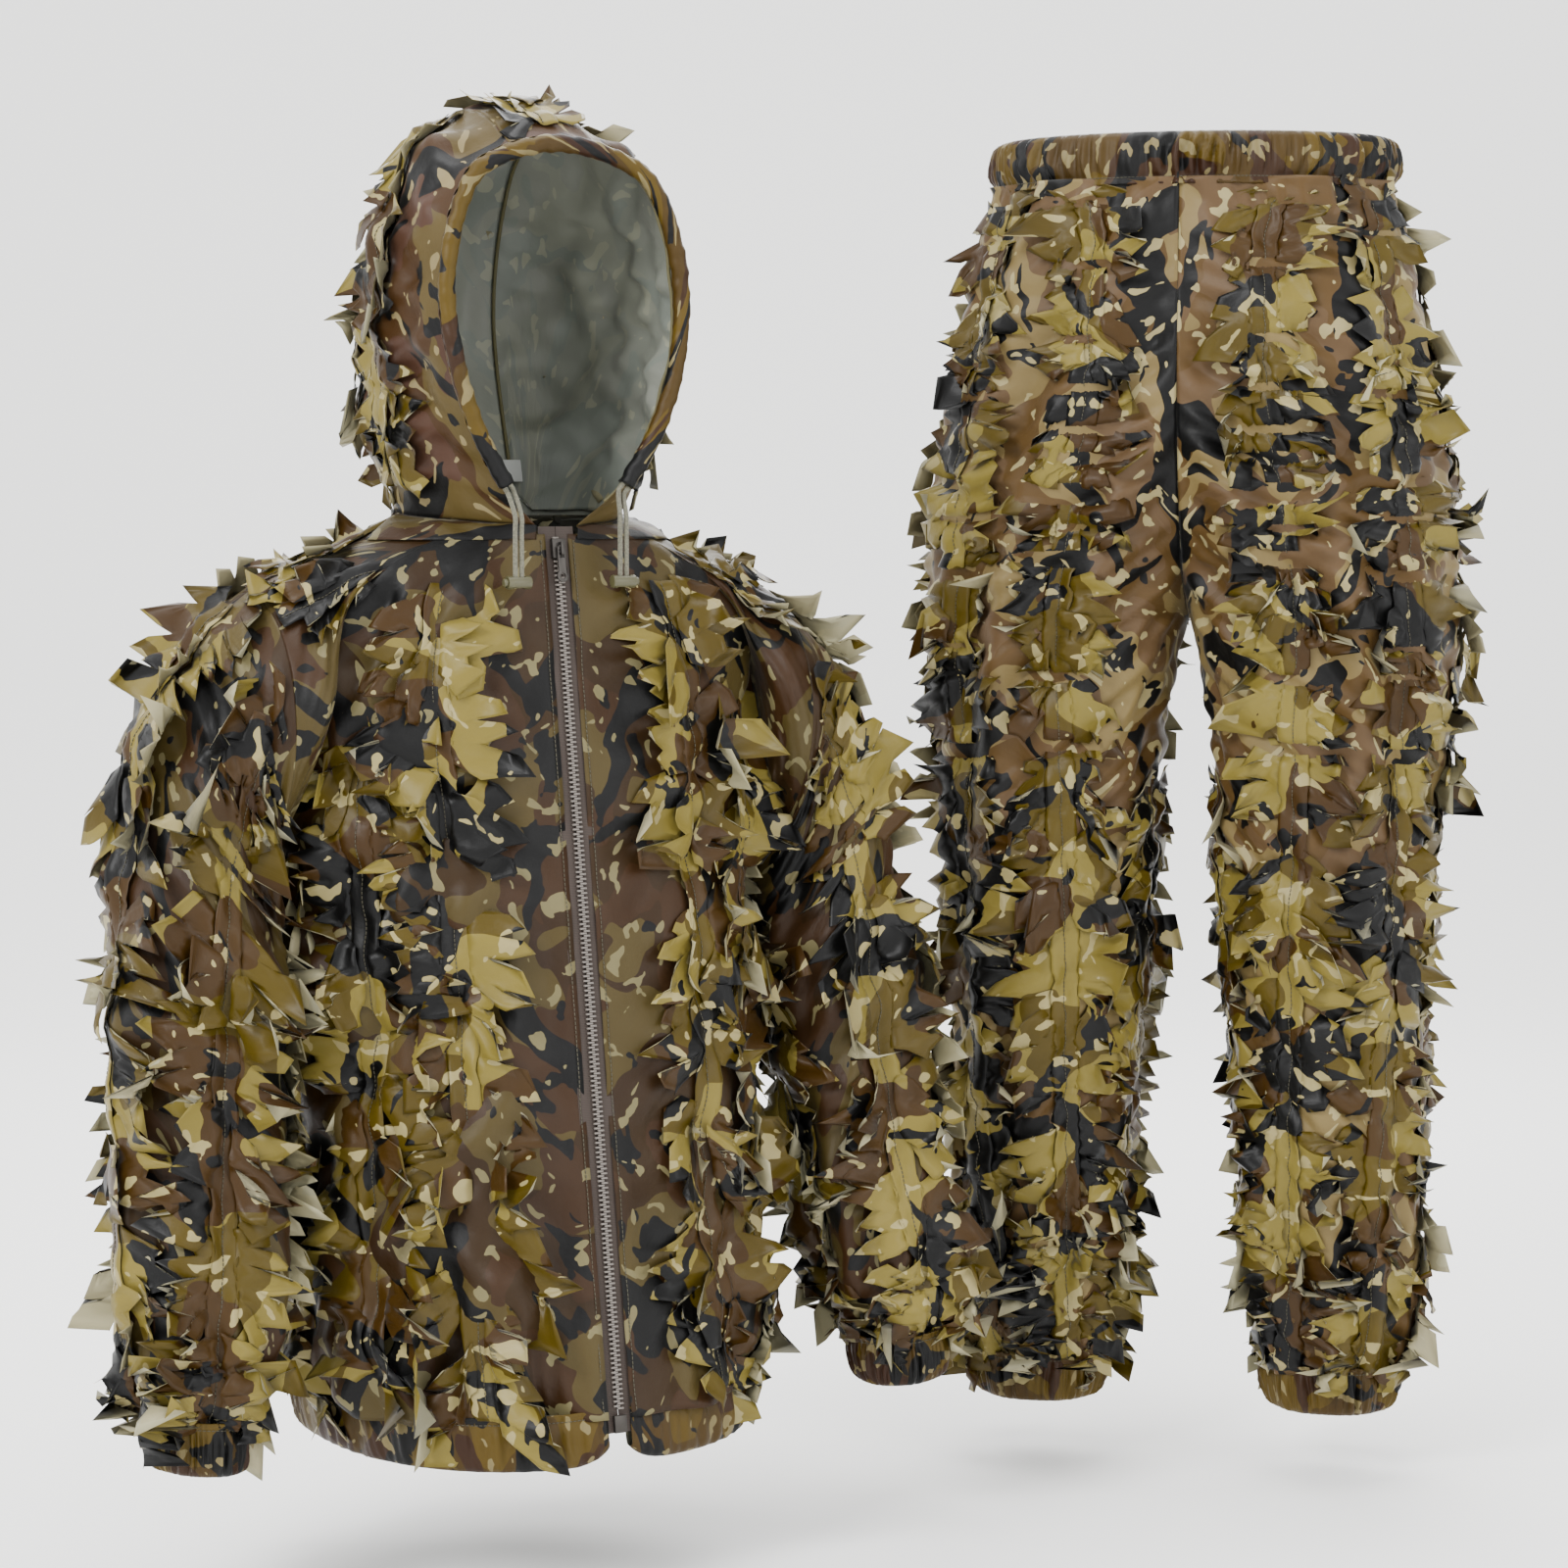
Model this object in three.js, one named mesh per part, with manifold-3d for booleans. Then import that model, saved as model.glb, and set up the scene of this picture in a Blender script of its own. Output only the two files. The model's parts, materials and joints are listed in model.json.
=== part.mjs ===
// Leafy ghillie suit: a hooded, zipped jacket and a pair of elastic-waisted trousers, side by side.
// Millimetres, +Z up. The origin is inside the jacket's neck, where the wearer's shoulders hold it.
// Each garment is drawn in its own frame, with its front towards -Y and the wearer's left at +X,
// and its group then turns it to the way it hangs.
import * as THREE from 'three';
import { mergeVertices } from 'three/addons/utils/BufferGeometryUtils.js';
import Module from 'manifold-3d';

// ---- driving dimensions ----
const degrees = THREE.MathUtils.degToRad;
const JACKET_TURN = degrees(29);
const TROUSER_TURN = degrees(-12);
const TROUSERS_AT = [563, 265, 0];
const CLOTH = 2.4;              // thickness of a garment panel's stand-in
const CASING = 3;               // of a flat elastic casing's
const GATHERED = 4;             // of a gathered cuff's or ankle's
const LEAF = 1.5;               // thickness of a leaf strip's stand-in
const GAP = 0.4;                // clearance between pieces that touch on the real suit

const ZIP_TOP = new THREE.Vector3(0, -85, -28);
const ZIP_FOOT = new THREE.Vector3(0, -189, -700);
const FRONT_TOP = -26;          // top edges of the body panels, at the neck seam
const BACK_TOP = -12;
const HEM_SEAM = -686;          // where the hem casing is sewn on
const HEM_FOOT = -724;
const ARMPIT = -246;
const ZIP_HALF = 16;            // half the gap between the front panels, filled by the zip tapes

const WAIST_TOP = 302;
const WAIST_SEAM = 262;
const LEG_SEAM = -62;           // where a leg starts below the seat
const ANKLE_SEAM = -738;
const ANKLE_FOOT = -776;

// Stations down the jacket: [height, half width], and the depth of its back.
const BODY_WIDTH = [[-15, 88], [-35, 138], [-60, 180], [-95, 200], [-150, 204], [-250, 196],
  [-400, 190], [-560, 190], [-660, 186], [-695, 176], [-724, 170]];
const BACK_DEPTH = [[-12, 66], [-60, 92], [-120, 116], [-250, 126], [-500, 126], [-724, 128]];
const BODY_SQUARE = 2.35;       // how square the body's cross-section is; 2 is an ellipse

// Rings down the wearer's left sleeve: outer and inner point [x, z], middle y, half depth.
const SLEEVE_RINGS = [
  { outer: [165, -46], inner: [205, -250], y: 0, deep: 90 },
  { outer: [218, -70], inner: [218, -268], y: 0, deep: 99 },
  { outer: [270, -118], inner: [208, -290], y: -2, deep: 83 },
  { outer: [305, -190], inner: [206, -325], y: -6, deep: 76 },
  { outer: [325, -300], inner: [206, -365], y: -18, deep: 69 },
  { outer: [333, -420], inner: [214, -452], y: -40, deep: 66 },
  { outer: [341, -540], inner: [228, -556], y: -64, deep: 62 },
  { outer: [345, -630], inner: [246, -640], y: -83, deep: 56 },
  { outer: [337, -668], inner: [262, -676], y: -92, deep: 43 },
  { outer: [334, -706], inner: [266, -712], y: -99, deep: 36 },
];
const CAP_RINGS = 2;            // the ring where the raglan cap ends: a circle, in which the sleeve turns
const TURN_ROOM = [0.25, 0.08]; // parts of a ring from there to the cap's end and to the sleeve's start
const CUFF_RING = 9;            // the ring where the gathered cuff starts

// The hood's side panel: rows from the face edge to the back, each from the neck up to the centre panel.
const HOOD_HALF_BAND = 36;      // half the width of the centre panel, and how far it bulges
const CROWN = 5;
const HOOD_NET = [
  [[17, -86, -20], [52, -96, 14], [86, -99, 80], [98, -96, 160], [78, -92, 236], [37, -90, 264]],
  [[62, -62, -16], [86, -66, 36], [104, -58, 100], [108, -52, 182], [82, -46, 260], [37, -42, 292]],
  [[88, -12, -12], [101, -8, 40], [111, 0, 105], [107, 6, 188], [76, 12, 264], [37, 18, 298]],
  [[84, 32, -8], [93, 44, 44], [98, 56, 105], [90, 66, 172], [64, 74, 228], [37, 80, 254]],
  [[66, 50, -8], [72, 70, 30], [74, 86, 68], [66, 98, 104], [52, 106, 132], [37, 110, 148]],
  [[48, 60, -8], [46, 64, -4], [44, 68, -1], [42, 71, 2], [40, 73, 4], [37, 74, 6]],
];

// Stations down one leg: [height, centre x, half width, half depth in front, half depth behind].
const LEG_STATIONS = [
  [302, 0, 166, 112, 112], [262, 0, 168, 116, 118], [200, 14, 172, 122, 128], [100, 46, 156, 130, 140],
  [0, 84, 130, 130, 138], [-80, 106, 112, 122, 124], [-135, 114, 106, 114, 114],
  [-260, 120, 92, 100, 100], [-430, 124, 80, 86, 88], [-600, 126, 72, 76, 80], [-700, 126, 66, 68, 70],
  [-738, 126, 56, 56, 58], [-776, 126, 50, 50, 52],
];

// ---- materials ----
const cloth = (colour) => new THREE.MeshStandardMaterial({ color: colour, roughness: 0.62, metalness: 0 });
const BASE = cloth(0x7b6350);
const BASE_DARK = cloth(0x5f4c40);
const LEAVES = cloth(0x7d6a33);
const TAPE = cloth(0x6b4d3f);
const CORD = cloth(0xa8a384);
const LABEL = cloth(0xd9d9d2);
const ELASTIC = cloth(0x3a3733);
const TEETH = new THREE.MeshStandardMaterial({ color: 0x8a8078, roughness: 0.45, metalness: 0 });
const LOCK = new THREE.MeshStandardMaterial({ color: 0x7a7648, roughness: 0.5, metalness: 0 });
const METAL = new THREE.MeshStandardMaterial({ color: 0x4c4642, roughness: 0.35, metalness: 0.8 });

// ---- tools for curves and surfaces ----
const vec = (x, y, z) => new THREE.Vector3(x, y, z);
const mirrored = (p) => vec(-p.x, p.y, p.z);
const mix = (a, b, t) => a + (b - a) * t;

// Smooth values at t from rows of [t, value, ...]: a cubic through the rows, level beyond the ends.
function smooth(rows, t) {
  const rising = rows[rows.length - 1][0] > rows[0][0];
  const at = (i) => rows[Math.min(Math.max(i, 0), rows.length - 1)];
  let i = 0;
  while (i < rows.length - 2 && (rising ? t > rows[i + 1][0] : t < rows[i + 1][0])) i += 1;
  const span = at(i + 1)[0] - at(i)[0];
  const s = THREE.MathUtils.clamp((t - at(i)[0]) / span, 0, 1);
  const slope = (k, c) => {
    const before = at(k - 1);
    const after = at(k + 1);
    return after[0] === before[0] ? 0 : (after[c] - before[c]) / (after[0] - before[0]);
  };
  return at(i).slice(1).map((start, n) => {
    const c = n + 1;
    const m0 = slope(i, c) * span;
    const m1 = slope(i + 1, c) * span;
    const jump = at(i + 1)[c] - start;
    return start + s * (m0 + s * (3 * jump - 2 * m0 - m1 + s * (m0 + m1 - 2 * jump)));
  });
}

// Points, counter-clockwise triangles -> one geometry whose faces point out.
function solid(points, faces) {
  const geometry = new THREE.BufferGeometry();
  geometry.setAttribute('position', new THREE.Float32BufferAttribute(points.flatMap((p) => p.toArray()), 3));
  const volume = faces.reduce((sum, [a, b, c]) => sum
    + points[a].dot(vec(0, 0, 0).crossVectors(points[b], points[c])), 0);
  geometry.setIndex((volume < 0 ? faces.map(([a, b, c]) => [a, c, b]) : faces).flat());
  geometry.computeVertexNormals();
  return geometry;
}

// Rows of points and the same rows moved by their offsets, closed round their edges into one thin solid.
function slab(outer, offsets, columns, ring = false) {
  const rows = outer.length / columns;
  const points = [...outer, ...outer.map((p, i) => p.clone().add(offsets[i]))];
  const at = (side, r, c) => side * rows * columns + r * columns + (c % columns);
  const faces = [];
  const quad = (a, b, c, d) => faces.push([a, b, c], [a, c, d]);
  const across = ring ? columns : columns - 1;
  for (let r = 0; r < rows - 1; r += 1) {
    for (let c = 0; c < across; c += 1) {
      quad(at(0, r, c), at(0, r, c + 1), at(0, r + 1, c + 1), at(0, r + 1, c));
      quad(at(1, r, c), at(1, r + 1, c), at(1, r + 1, c + 1), at(1, r, c + 1));
    }
    if (!ring) {
      quad(at(0, r, 0), at(0, r + 1, 0), at(1, r + 1, 0), at(1, r, 0));
      const last = columns - 1;
      quad(at(0, r, last), at(1, r, last), at(1, r + 1, last), at(0, r + 1, last));
    }
  }
  for (let c = 0; c < across; c += 1) {
    quad(at(0, 0, c), at(1, 0, c), at(1, 0, c + 1), at(0, 0, c + 1));
    quad(at(0, rows - 1, c), at(0, rows - 1, c + 1), at(1, rows - 1, c + 1), at(1, rows - 1, c));
  }
  return solid(points, faces);
}

// A normal of surface(u, v), found from nearby points; it points out or in, the same way all over a surface.
function normalOf(surface, u, v) {
  const step = 0.004;
  const du = surface(Math.min(u + step, 1), v).sub(surface(Math.max(u - step, 0), v));
  const dv = surface(u, Math.min(v + step, 1)).sub(surface(u, Math.max(v - step, 0)));
  return du.cross(dv).normalize();
}

// Normals that point out, from normals that all point out or all point in; inside is a point in the garment.
function outward(normals, points, inside) {
  const agree = normals.reduce((sum, n, i) => sum + n.dot(points[i].clone().sub(inside)), 0);
  return normals.map((n) => n.clone().multiplyScalar(agree < 0 ? -1 : 1));
}

// A panel of cloth: surface(u, v) is its outside, and it is given its thickness inwards.
function panel(surface, inside, columns, rows, thick = CLOTH, ring = false) {
  const across = ring ? columns : columns + 1;
  const places = [...Array((rows + 1) * across).keys()]
    .map((i) => [(i % across) / columns, Math.floor(i / across) / rows]);
  const points = places.map(([u, v]) => surface(u, v));
  const normals = outward(places.map(([u, v]) => normalOf(surface, u, v)), points, inside);
  return slab(points, normals.map((n) => n.multiplyScalar(-thick)), across, ring);
}

// A leaf strip: a ribbon sewn down its middle along path(t) = [u, v] on a surface. Each of its edges is cut
// to points, and the further an edge reaches from the seam, the further it flares off the cloth.
const LEAF_LIFT = 4;            // from the cloth to the ribbon's outside at the seam
const NOTCH = 0.55;             // how far the notches reach, as a share of the points' reach
function leafStrip(surface, inside, path, teeth, half, flare) {
  const stations = [...Array(2 * teeth + 1).keys()].map((i) => i / (2 * teeth));
  const seam = stations.map((t) => surface(...path(t)));
  const normals = outward(stations.map((t) => normalOf(surface, ...path(t))), seam, inside);
  const points = stations.flatMap((t, i) => {
    const ahead = surface(...path(Math.min(t + 0.01, 1)));
    const along = ahead.sub(surface(...path(Math.max(t - 0.01, 0)))).normalize();
    const across = vec(0, 0, 0).crossVectors(normals[i], along).normalize();
    const share = i % 2 ? 1 : NOTCH;
    const middle = seam[i].clone().addScaledVector(normals[i], LEAF_LIFT);
    return [-1, 0, 1].map((way) => middle.clone().addScaledVector(across, way * half * share)
      .addScaledVector(normals[i], Math.abs(way) * flare * share ** 2));
  });
  return slab(points, points.map((p, i) => normals[Math.floor(i / 3)].clone().multiplyScalar(-LEAF)), 3);
}

// Joining and cutting of closed solids.
const wasm = await Module();
wasm.setup();
function toManifold(geometry) {
  const bare = geometry.index ? geometry.toNonIndexed() : geometry.clone();
  bare.deleteAttribute('normal');
  bare.deleteAttribute('uv');
  const merged = mergeVertices(bare, 1e-4);
  return new wasm.Manifold(new wasm.Mesh({
    numProp: 3,
    vertProperties: merged.attributes.position.array,
    triVerts: new Uint32Array(merged.index.array),
  }));
}
function fromManifold(shape) {
  const mesh = shape.getMesh();
  const geometry = new THREE.BufferGeometry();
  geometry.setAttribute('position', new THREE.BufferAttribute(new Float32Array(mesh.vertProperties), 3));
  geometry.setIndex(new THREE.BufferAttribute(new Uint32Array(mesh.triVerts), 1));
  geometry.computeVertexNormals();
  return geometry;
}
const box = (x0, x1, y0, y1, z0, z1) => {
  const block = new THREE.BoxGeometry(x1 - x0, y1 - y0, z1 - z0);
  block.translate((x0 + x1) / 2, (y0 + y1) / 2, (z0 + z1) / 2);
  return block;
};
const cut = (from, ...tools) => fromManifold(
  tools.map(toManifold).reduce((left, tool) => left.subtract(tool), toManifold(from)));
const join = (...pieces) => fromManifold(pieces.map(toManifold).reduce((all, piece) => all.add(piece)));

const suit = new THREE.Group();
const jacket = new THREE.Group();
jacket.rotation.z = JACKET_TURN;
const trousers = new THREE.Group();
trousers.rotation.z = TROUSER_TURN;
trousers.position.set(...TROUSERS_AT);
suit.add(jacket, trousers);

function add(parent, name, geometry, material) {
  const mesh = new THREE.Mesh(geometry, material);
  mesh.name = name;
  parent.add(mesh);
  return mesh;
}

const SIDES = [['right', -1], ['left', 1]];   // the wearer's right is at -X
const flip = (side, surface) => (u, v) => (side < 0 ? mirrored(surface(u, v)) : surface(u, v));

// ---- the jacket's body: two fronts and a back ----
const frontDepth = (z) => mix(-ZIP_TOP.y, -ZIP_FOOT.y, (ZIP_TOP.z - z) / (ZIP_TOP.z - ZIP_FOOT.z));

// The body's outside at an angle from the centre front and a height.
function body(angle, z) {
  const [wide] = smooth(BODY_WIDTH, z);
  const s = Math.sin(angle);
  const c = Math.cos(angle);
  const deep = c > 0 ? frontDepth(z) : smooth(BACK_DEPTH, z)[0];
  const power = 2 / BODY_SQUARE;
  return vec(wide * Math.sign(s) * Math.abs(s) ** power, -deep * Math.sign(c) * Math.abs(c) ** power, z);
}

// The raglan seam's angle from the centre front (or back) falls from the neck to the armpit.
const RAGLAN_NECK = degrees(40);
const SIDE_SEAM = degrees(88.5);
function raglan(z) {
  const down = THREE.MathUtils.clamp((FRONT_TOP - z) / (FRONT_TOP - ARMPIT), 0, 1);
  return mix(RAGLAN_NECK, SIDE_SEAM, down ** 0.9);
}
const TRUNK = vec(0, 0, -380);  // a point inside the jacket's body
const crowd = (v) => v ** 1.5;  // closer rows near the shoulder

// The angle at which a front ends beside the zip.
const zipEdge = (z) => Math.asin((ZIP_HALF / smooth(BODY_WIDTH, z)[0]) ** (BODY_SQUARE / 2));

const front = (u, v) => {
  const z = mix(FRONT_TOP, HEM_SEAM + 1, crowd(v));
  return body(mix(zipEdge(z), raglan(z), u), z);
};
for (const [name, side] of SIDES) {
  add(jacket, `front_panel_${name}`, panel(flip(side, front), TRUNK, 5, 9), BASE);
}
const back = (u, v) => {
  const z = mix(BACK_TOP, HEM_SEAM + 1, crowd(v));
  return body(Math.PI + mix(-1, 1, u) * raglan(z), z);
};
add(jacket, 'back_panel', panel(back, TRUNK, 8, 9), BASE);

const hem = (u, v) => {
  const z = mix(HEM_SEAM - GAP, HEM_FOOT, v);
  return body(mix(zipEdge(z), 2 * Math.PI - zipEdge(z), u), z);
};
add(jacket, 'hem_casing', panel(hem, TRUNK, 22, 1, CASING), BASE_DARK);
const hemElastic = (u, v) => {
  const p = hem(mix(0.03, 0.97, u), mix(0.2, 0.8, v));
  return vec(p.x * 0.97, p.y * 0.965, p.z);
};
add(jacket, 'hem_elastic', panel(hemElastic, TRUNK, 20, 1, 1), ELASTIC);

// ---- sleeves: a raglan cap from the neck to the shoulder, a hanging tube and a gathered cuff ----
// Ring 0 is the raglan seam itself: over the neck edge, down the front seam, and up the back seam.
const NECK_SHARE = 0.12;
const SEAM_CLEAR = 0.1;         // the cap stands clear of the panels by this angle
function raglanPoint(turn) {
  const half = turn <= 0.5 ? turn * 2 : (1 - turn) * 2;
  const top = turn <= 0.5 ? FRONT_TOP : BACK_TOP;
  const z = half < NECK_SHARE ? top : mix(top, ARMPIT, (half - NECK_SHARE) / (1 - NECK_SHARE));
  const angle = half < NECK_SHARE ? mix(Math.PI / 2, RAGLAN_NECK, half / NECK_SHARE) : raglan(z);
  const clear = Math.min(angle + SEAM_CLEAR, Math.PI / 2);
  const seam = body(turn <= 0.5 ? clear : Math.PI - clear, z);
  return [seam.x, seam.y, seam.z];
}
function ringPoint(k, turn) {
  if (k === 0) return raglanPoint(turn);
  const { outer, inner, y, deep } = SLEEVE_RINGS[k - 1];
  const c = Math.cos(2 * Math.PI * turn);
  const s = Math.sin(2 * Math.PI * turn);
  return [mix(inner[0], outer[0], (1 + c) / 2), y - deep * s, mix(inner[1], outer[1], (1 + c) / 2)];
}
// The sleeve's outside: turn 0 is its top and outer side, 0.25 its front; ring 0 is the raglan seam.
function sleeve(turn, ring) {
  const wrapped = turn - Math.floor(turn);
  const rows = [...Array(SLEEVE_RINGS.length + 1).keys()].map((k) => [k, ...ringPoint(k, wrapped)]);
  return vec(...smooth(rows, ring));
}
const SHOULDER = vec(205, 0, -150);    // points inside the left cap and the left sleeve
const ELBOW = vec(268, -40, -420);
const inSide = (side, point) => (side < 0 ? mirrored(point) : point);
for (const [name, side] of SIDES) {
  const stretch = (from, to) => flip(side, (u, v) => sleeve(u, mix(from, to, v)));
  const shoulder = inSide(side, SHOULDER);
  const elbow = inSide(side, ELBOW);
  const cap = stretch(0, CAP_RINGS - TURN_ROOM[0]);
  const arm = stretch(CAP_RINGS + TURN_ROOM[1], CUFF_RING);
  add(jacket, `shoulder_cap_${name}`, panel(cap, shoulder, 16, 3, CLOTH, true), BASE);
  add(jacket, `sleeve_${name}`, panel(arm, elbow, 16, 7, CLOTH, true), BASE);
  add(jacket, `cuff_${name}`, panel(stretch(CUFF_RING + 0.03, CUFF_RING + 1), elbow, 12, 1, GATHERED, true),
    BASE_DARK);
}

// ---- hood: two sides, a centre panel over the crown, and the drawcord channel round the face ----
const hoodRow = (row, u) => smooth(row.map((p, i) => [i / (row.length - 1), ...p]), u);
function hoodSide(u, v) {
  return vec(...smooth(HOOD_NET.map((row, i) => [i / (HOOD_NET.length - 1), ...hoodRow(row, u)]), v));
}
const HEAD = vec(0, -10, 120);         // a point inside the hood
const hoodBand = (u, v) => {
  const edge = hoodSide(1, v);
  const across = mix(-1, 1, u);
  const out = vec(0, Math.sin(v * Math.PI / 2), Math.cos(v * Math.PI / 2));
  return vec(across * (HOOD_HALF_BAND - GAP), edge.y, edge.z).addScaledVector(out, CROWN * (1 - across ** 2));
};
for (const [name, side] of SIDES) {
  add(jacket, `hood_side_${name}`, panel(flip(side, hoodSide), HEAD, 7, 8), BASE);
}
add(jacket, 'hood_centre', panel(hoodBand, HEAD, 4, 12), BASE);

const CHANNEL = 6.5;            // radius of the rolled channel
const CHANNEL_FORWARD = 9;      // from the hood's face edge forward to the channel's middle
const faceEdge = [0.19, 0.32, 0.45, 0.6, 0.75, 0.88]
  .map((u) => hoodSide(u, 0).add(vec(0, -CHANNEL_FORWARD, 0)));
const crownEdge = hoodBand(0.5, 0).add(vec(0, -CHANNEL_FORWARD, 0));
const channelPath = new THREE.CatmullRomCurve3([...faceEdge.map(mirrored), crownEdge, ...faceEdge.reverse()]);
function roundShape(radius, sides) {
  const turns = [...Array(sides).keys()].map((i) => 2 * Math.PI * (i + 0.5) / sides);
  return new THREE.Shape(turns.map((a) => new THREE.Vector2(radius * Math.cos(a), radius * Math.sin(a))));
}
const tube = (path, radius, steps, sides = 8) => new THREE.ExtrudeGeometry(
  roundShape(radius, sides), { extrudePath: path, steps, bevelEnabled: false });
add(jacket, 'hood_channel', tube(channelPath, CHANNEL, 22), BASE_DARK);

// ---- drawcords: two strands out of each end of the channel, held together by a cord lock ----
const CORD_RADIUS = 2;
const STRAND_APART = 2.6;       // from the lock's middle to a strand
const LOCK_AT = vec(44, -112, -62);
const LOCK_RADIUS = 5;
const LOCK_HALF = 9.5;
const BUTTON_RADIUS = 3.2;
const BUTTON_OUT = 3;           // how far the button stands out of the barrel
const BUTTON_LONG = 4.2;
const BORE_DEEP = 4;
const STRAIGHT_FROM = -12;      // the strands hang straight below this height
const EXIT = channelPath.getPoint(1);
const EXIT_WAY = channelPath.getTangent(1);
const across = (radius, long) => new THREE.CylinderGeometry(radius, radius, long, 12).rotateZ(Math.PI / 2);
const EXIT_ACROSS = vec(0, 0, 0).crossVectors(EXIT_WAY, vec(0, 1, 0)).normalize();
for (const [name, side] of SIDES) {
  for (const [strand, way] of [['outer', 1], ['inner', -1]]) {
    const beside = EXIT_ACROSS.clone().multiplyScalar(way * STRAND_APART);
    const x = LOCK_AT.x + way * STRAND_APART;
    const route = [EXIT.clone().addScaledVector(EXIT_WAY, GAP).add(beside),
      EXIT.clone().addScaledVector(EXIT_WAY, 7).add(beside), vec(x, LOCK_AT.y, STRAIGHT_FROM),
      ...[-24, -38, -52, LOCK_AT.z - 4].map((z) => vec(x, LOCK_AT.y, z))];
    const path = new THREE.CatmullRomCurve3(side < 0 ? route.map(mirrored) : route);
    add(jacket, `drawcord_${name}_${strand}`, tube(path, CORD_RADIUS, 10), CORD);
  }
  // The lock's barrel lies across the cords: a slot lets the strands through, and a bore holds the button.
  const lock = new THREE.Group();
  lock.position.set(side * LOCK_AT.x, LOCK_AT.y, LOCK_AT.z);
  lock.scale.x = side;
  jacket.add(lock);
  const bar = across(LOCK_RADIUS, 2 * LOCK_HALF);
  const slot = STRAND_APART + CORD_RADIUS + 0.5;
  const bore = across(BUTTON_RADIUS + 0.3, BORE_DEEP);
  bore.translate(LOCK_HALF - BORE_DEEP / 2 + 0.01, 0, 0);
  add(lock, `cord_lock_${name}`, cut(bar, box(-slot, slot, -2.6, 2.6, -9, 9), bore), LOCK);
  const button = across(BUTTON_RADIUS, BUTTON_LONG);
  button.translate(LOCK_HALF + BUTTON_OUT - BUTTON_LONG / 2, 0, 0);
  add(lock, `lock_button_${name}`, button, LOCK);
}

// ---- the zip: tapes, teeth, foot box, slider and pull, drawn along a straight centre-front line ----
// In the zip's own frame -Z runs down the zip and -Y points out of the chest.
const zip = new THREE.Group();
const run = ZIP_FOOT.clone().sub(ZIP_TOP);
zip.position.copy(ZIP_TOP);
zip.rotation.x = -Math.atan2(-run.y, -run.z);
jacket.add(zip);
const ZIP_LENGTH = run.length();
const TOOTH_REACH = 3.6;
const TAPE_THICK = 0.8;
for (const [name, side] of SIDES) {
  const half = new THREE.Group();
  half.scale.x = side;
  zip.add(half);
  add(half, `zip_tape_${name}`, box(GAP / 2, ZIP_HALF - 1.2, 0, TAPE_THICK, -ZIP_LENGTH, 8), TAPE);
  add(half, `zip_teeth_${name}`, box(GAP / 2, TOOTH_REACH, -2.4, -GAP, -ZIP_LENGTH + 14, 0), TEETH);
}
add(zip, 'zip_foot_box', box(-5, 5, -4, -GAP, -ZIP_LENGTH, -ZIP_LENGTH + 13), METAL);

// The slider is a channel over the teeth with a bridge on its face; the pull hangs on the bridge by its slot.
const SLIDER_TOP = -2;
const SLIDER_FOOT = -17;
const channel = new THREE.Shape([[-5.6, -0.5], [-4.2, -0.5], [-4.2, -3], [4.2, -3], [4.2, -0.5], [5.6, -0.5],
  [5.6, -5], [-5.6, -5]].map((p) => new THREE.Vector2(...p)));
const slider = new THREE.ExtrudeGeometry(channel, { depth: SLIDER_TOP - SLIDER_FOOT, bevelEnabled: false });
slider.translate(0, 0, SLIDER_FOOT);
// The bridge's outline is drawn in y and z and is as thick as it is across the zip.
const BRIDGE_HALF = 1.1;
const bridge = cut(
  box(-BRIDGE_HALF, BRIDGE_HALF, -10.9, -4.9, -15, -5),
  box(-2, 2, -9.4, -5, -13, -7),
);
add(zip, 'zip_slider', join(slider, bridge), METAL);

// The pull: a flat tab, slotted at its top for the bridge and pierced in its round end.
const PULL_TOP = -8.6;
const PULL_FOOT = -36;
const PULL_HALF = 3.25;
const ROUND = 4.8;
const tab = new THREE.Shape();
tab.moveTo(-PULL_HALF, PULL_TOP);
tab.lineTo(-PULL_HALF, PULL_FOOT + ROUND + 3.5);
tab.absarc(0, PULL_FOOT + ROUND, ROUND, Math.PI - 0.8, 2 * Math.PI + 0.8, false);
tab.lineTo(PULL_HALF, PULL_TOP);
const slotHole = new THREE.Path([[-1.9, -11.4], [1.9, -11.4], [1.9, -17.2], [-1.9, -17.2]]
  .map((p) => new THREE.Vector2(...p)));
const eye = new THREE.Path();
eye.absarc(0, PULL_FOOT + ROUND, 2.2, 0, 2 * Math.PI, true);
tab.holes.push(slotHole, eye);
const PULL_THICK = 1.4;
const PULL_FACE = -6.9;
const pull = new THREE.ExtrudeGeometry(tab, { depth: PULL_THICK, bevelEnabled: false, curveSegments: 8 });
pull.rotateX(Math.PI / 2);
pull.translate(0, PULL_FACE, 0);
add(zip, 'zip_pull', pull, METAL);

// ---- the size label: it hangs inside the back of the hood, beside the centre panel's seam ----
const label = add(jacket, 'size_label', box(-13, 13, -0.8, 0, -18, 0), LABEL);
label.position.set(30, 71, 32);
label.rotation.x = degrees(-14);

// ---- trousers: waistband with its elastic, seat, and two legs with gathered ankles ----
// The outside of one leg at an angle from its outer side (a quarter turn is its front) and a height.
const LEG_SQUARE = 2.25;
function leg(angle, z) {
  const [x, wide, ahead, behind] = smooth(LEG_STATIONS, z);
  const s = Math.sin(angle);
  const c = Math.cos(angle);
  const power = 2 / LEG_SQUARE;
  const deep = s > 0 ? ahead : behind;
  return vec(x + wide * Math.sign(c) * Math.abs(c) ** power, -deep * Math.sign(s) * Math.abs(s) ** power, z);
}
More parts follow.
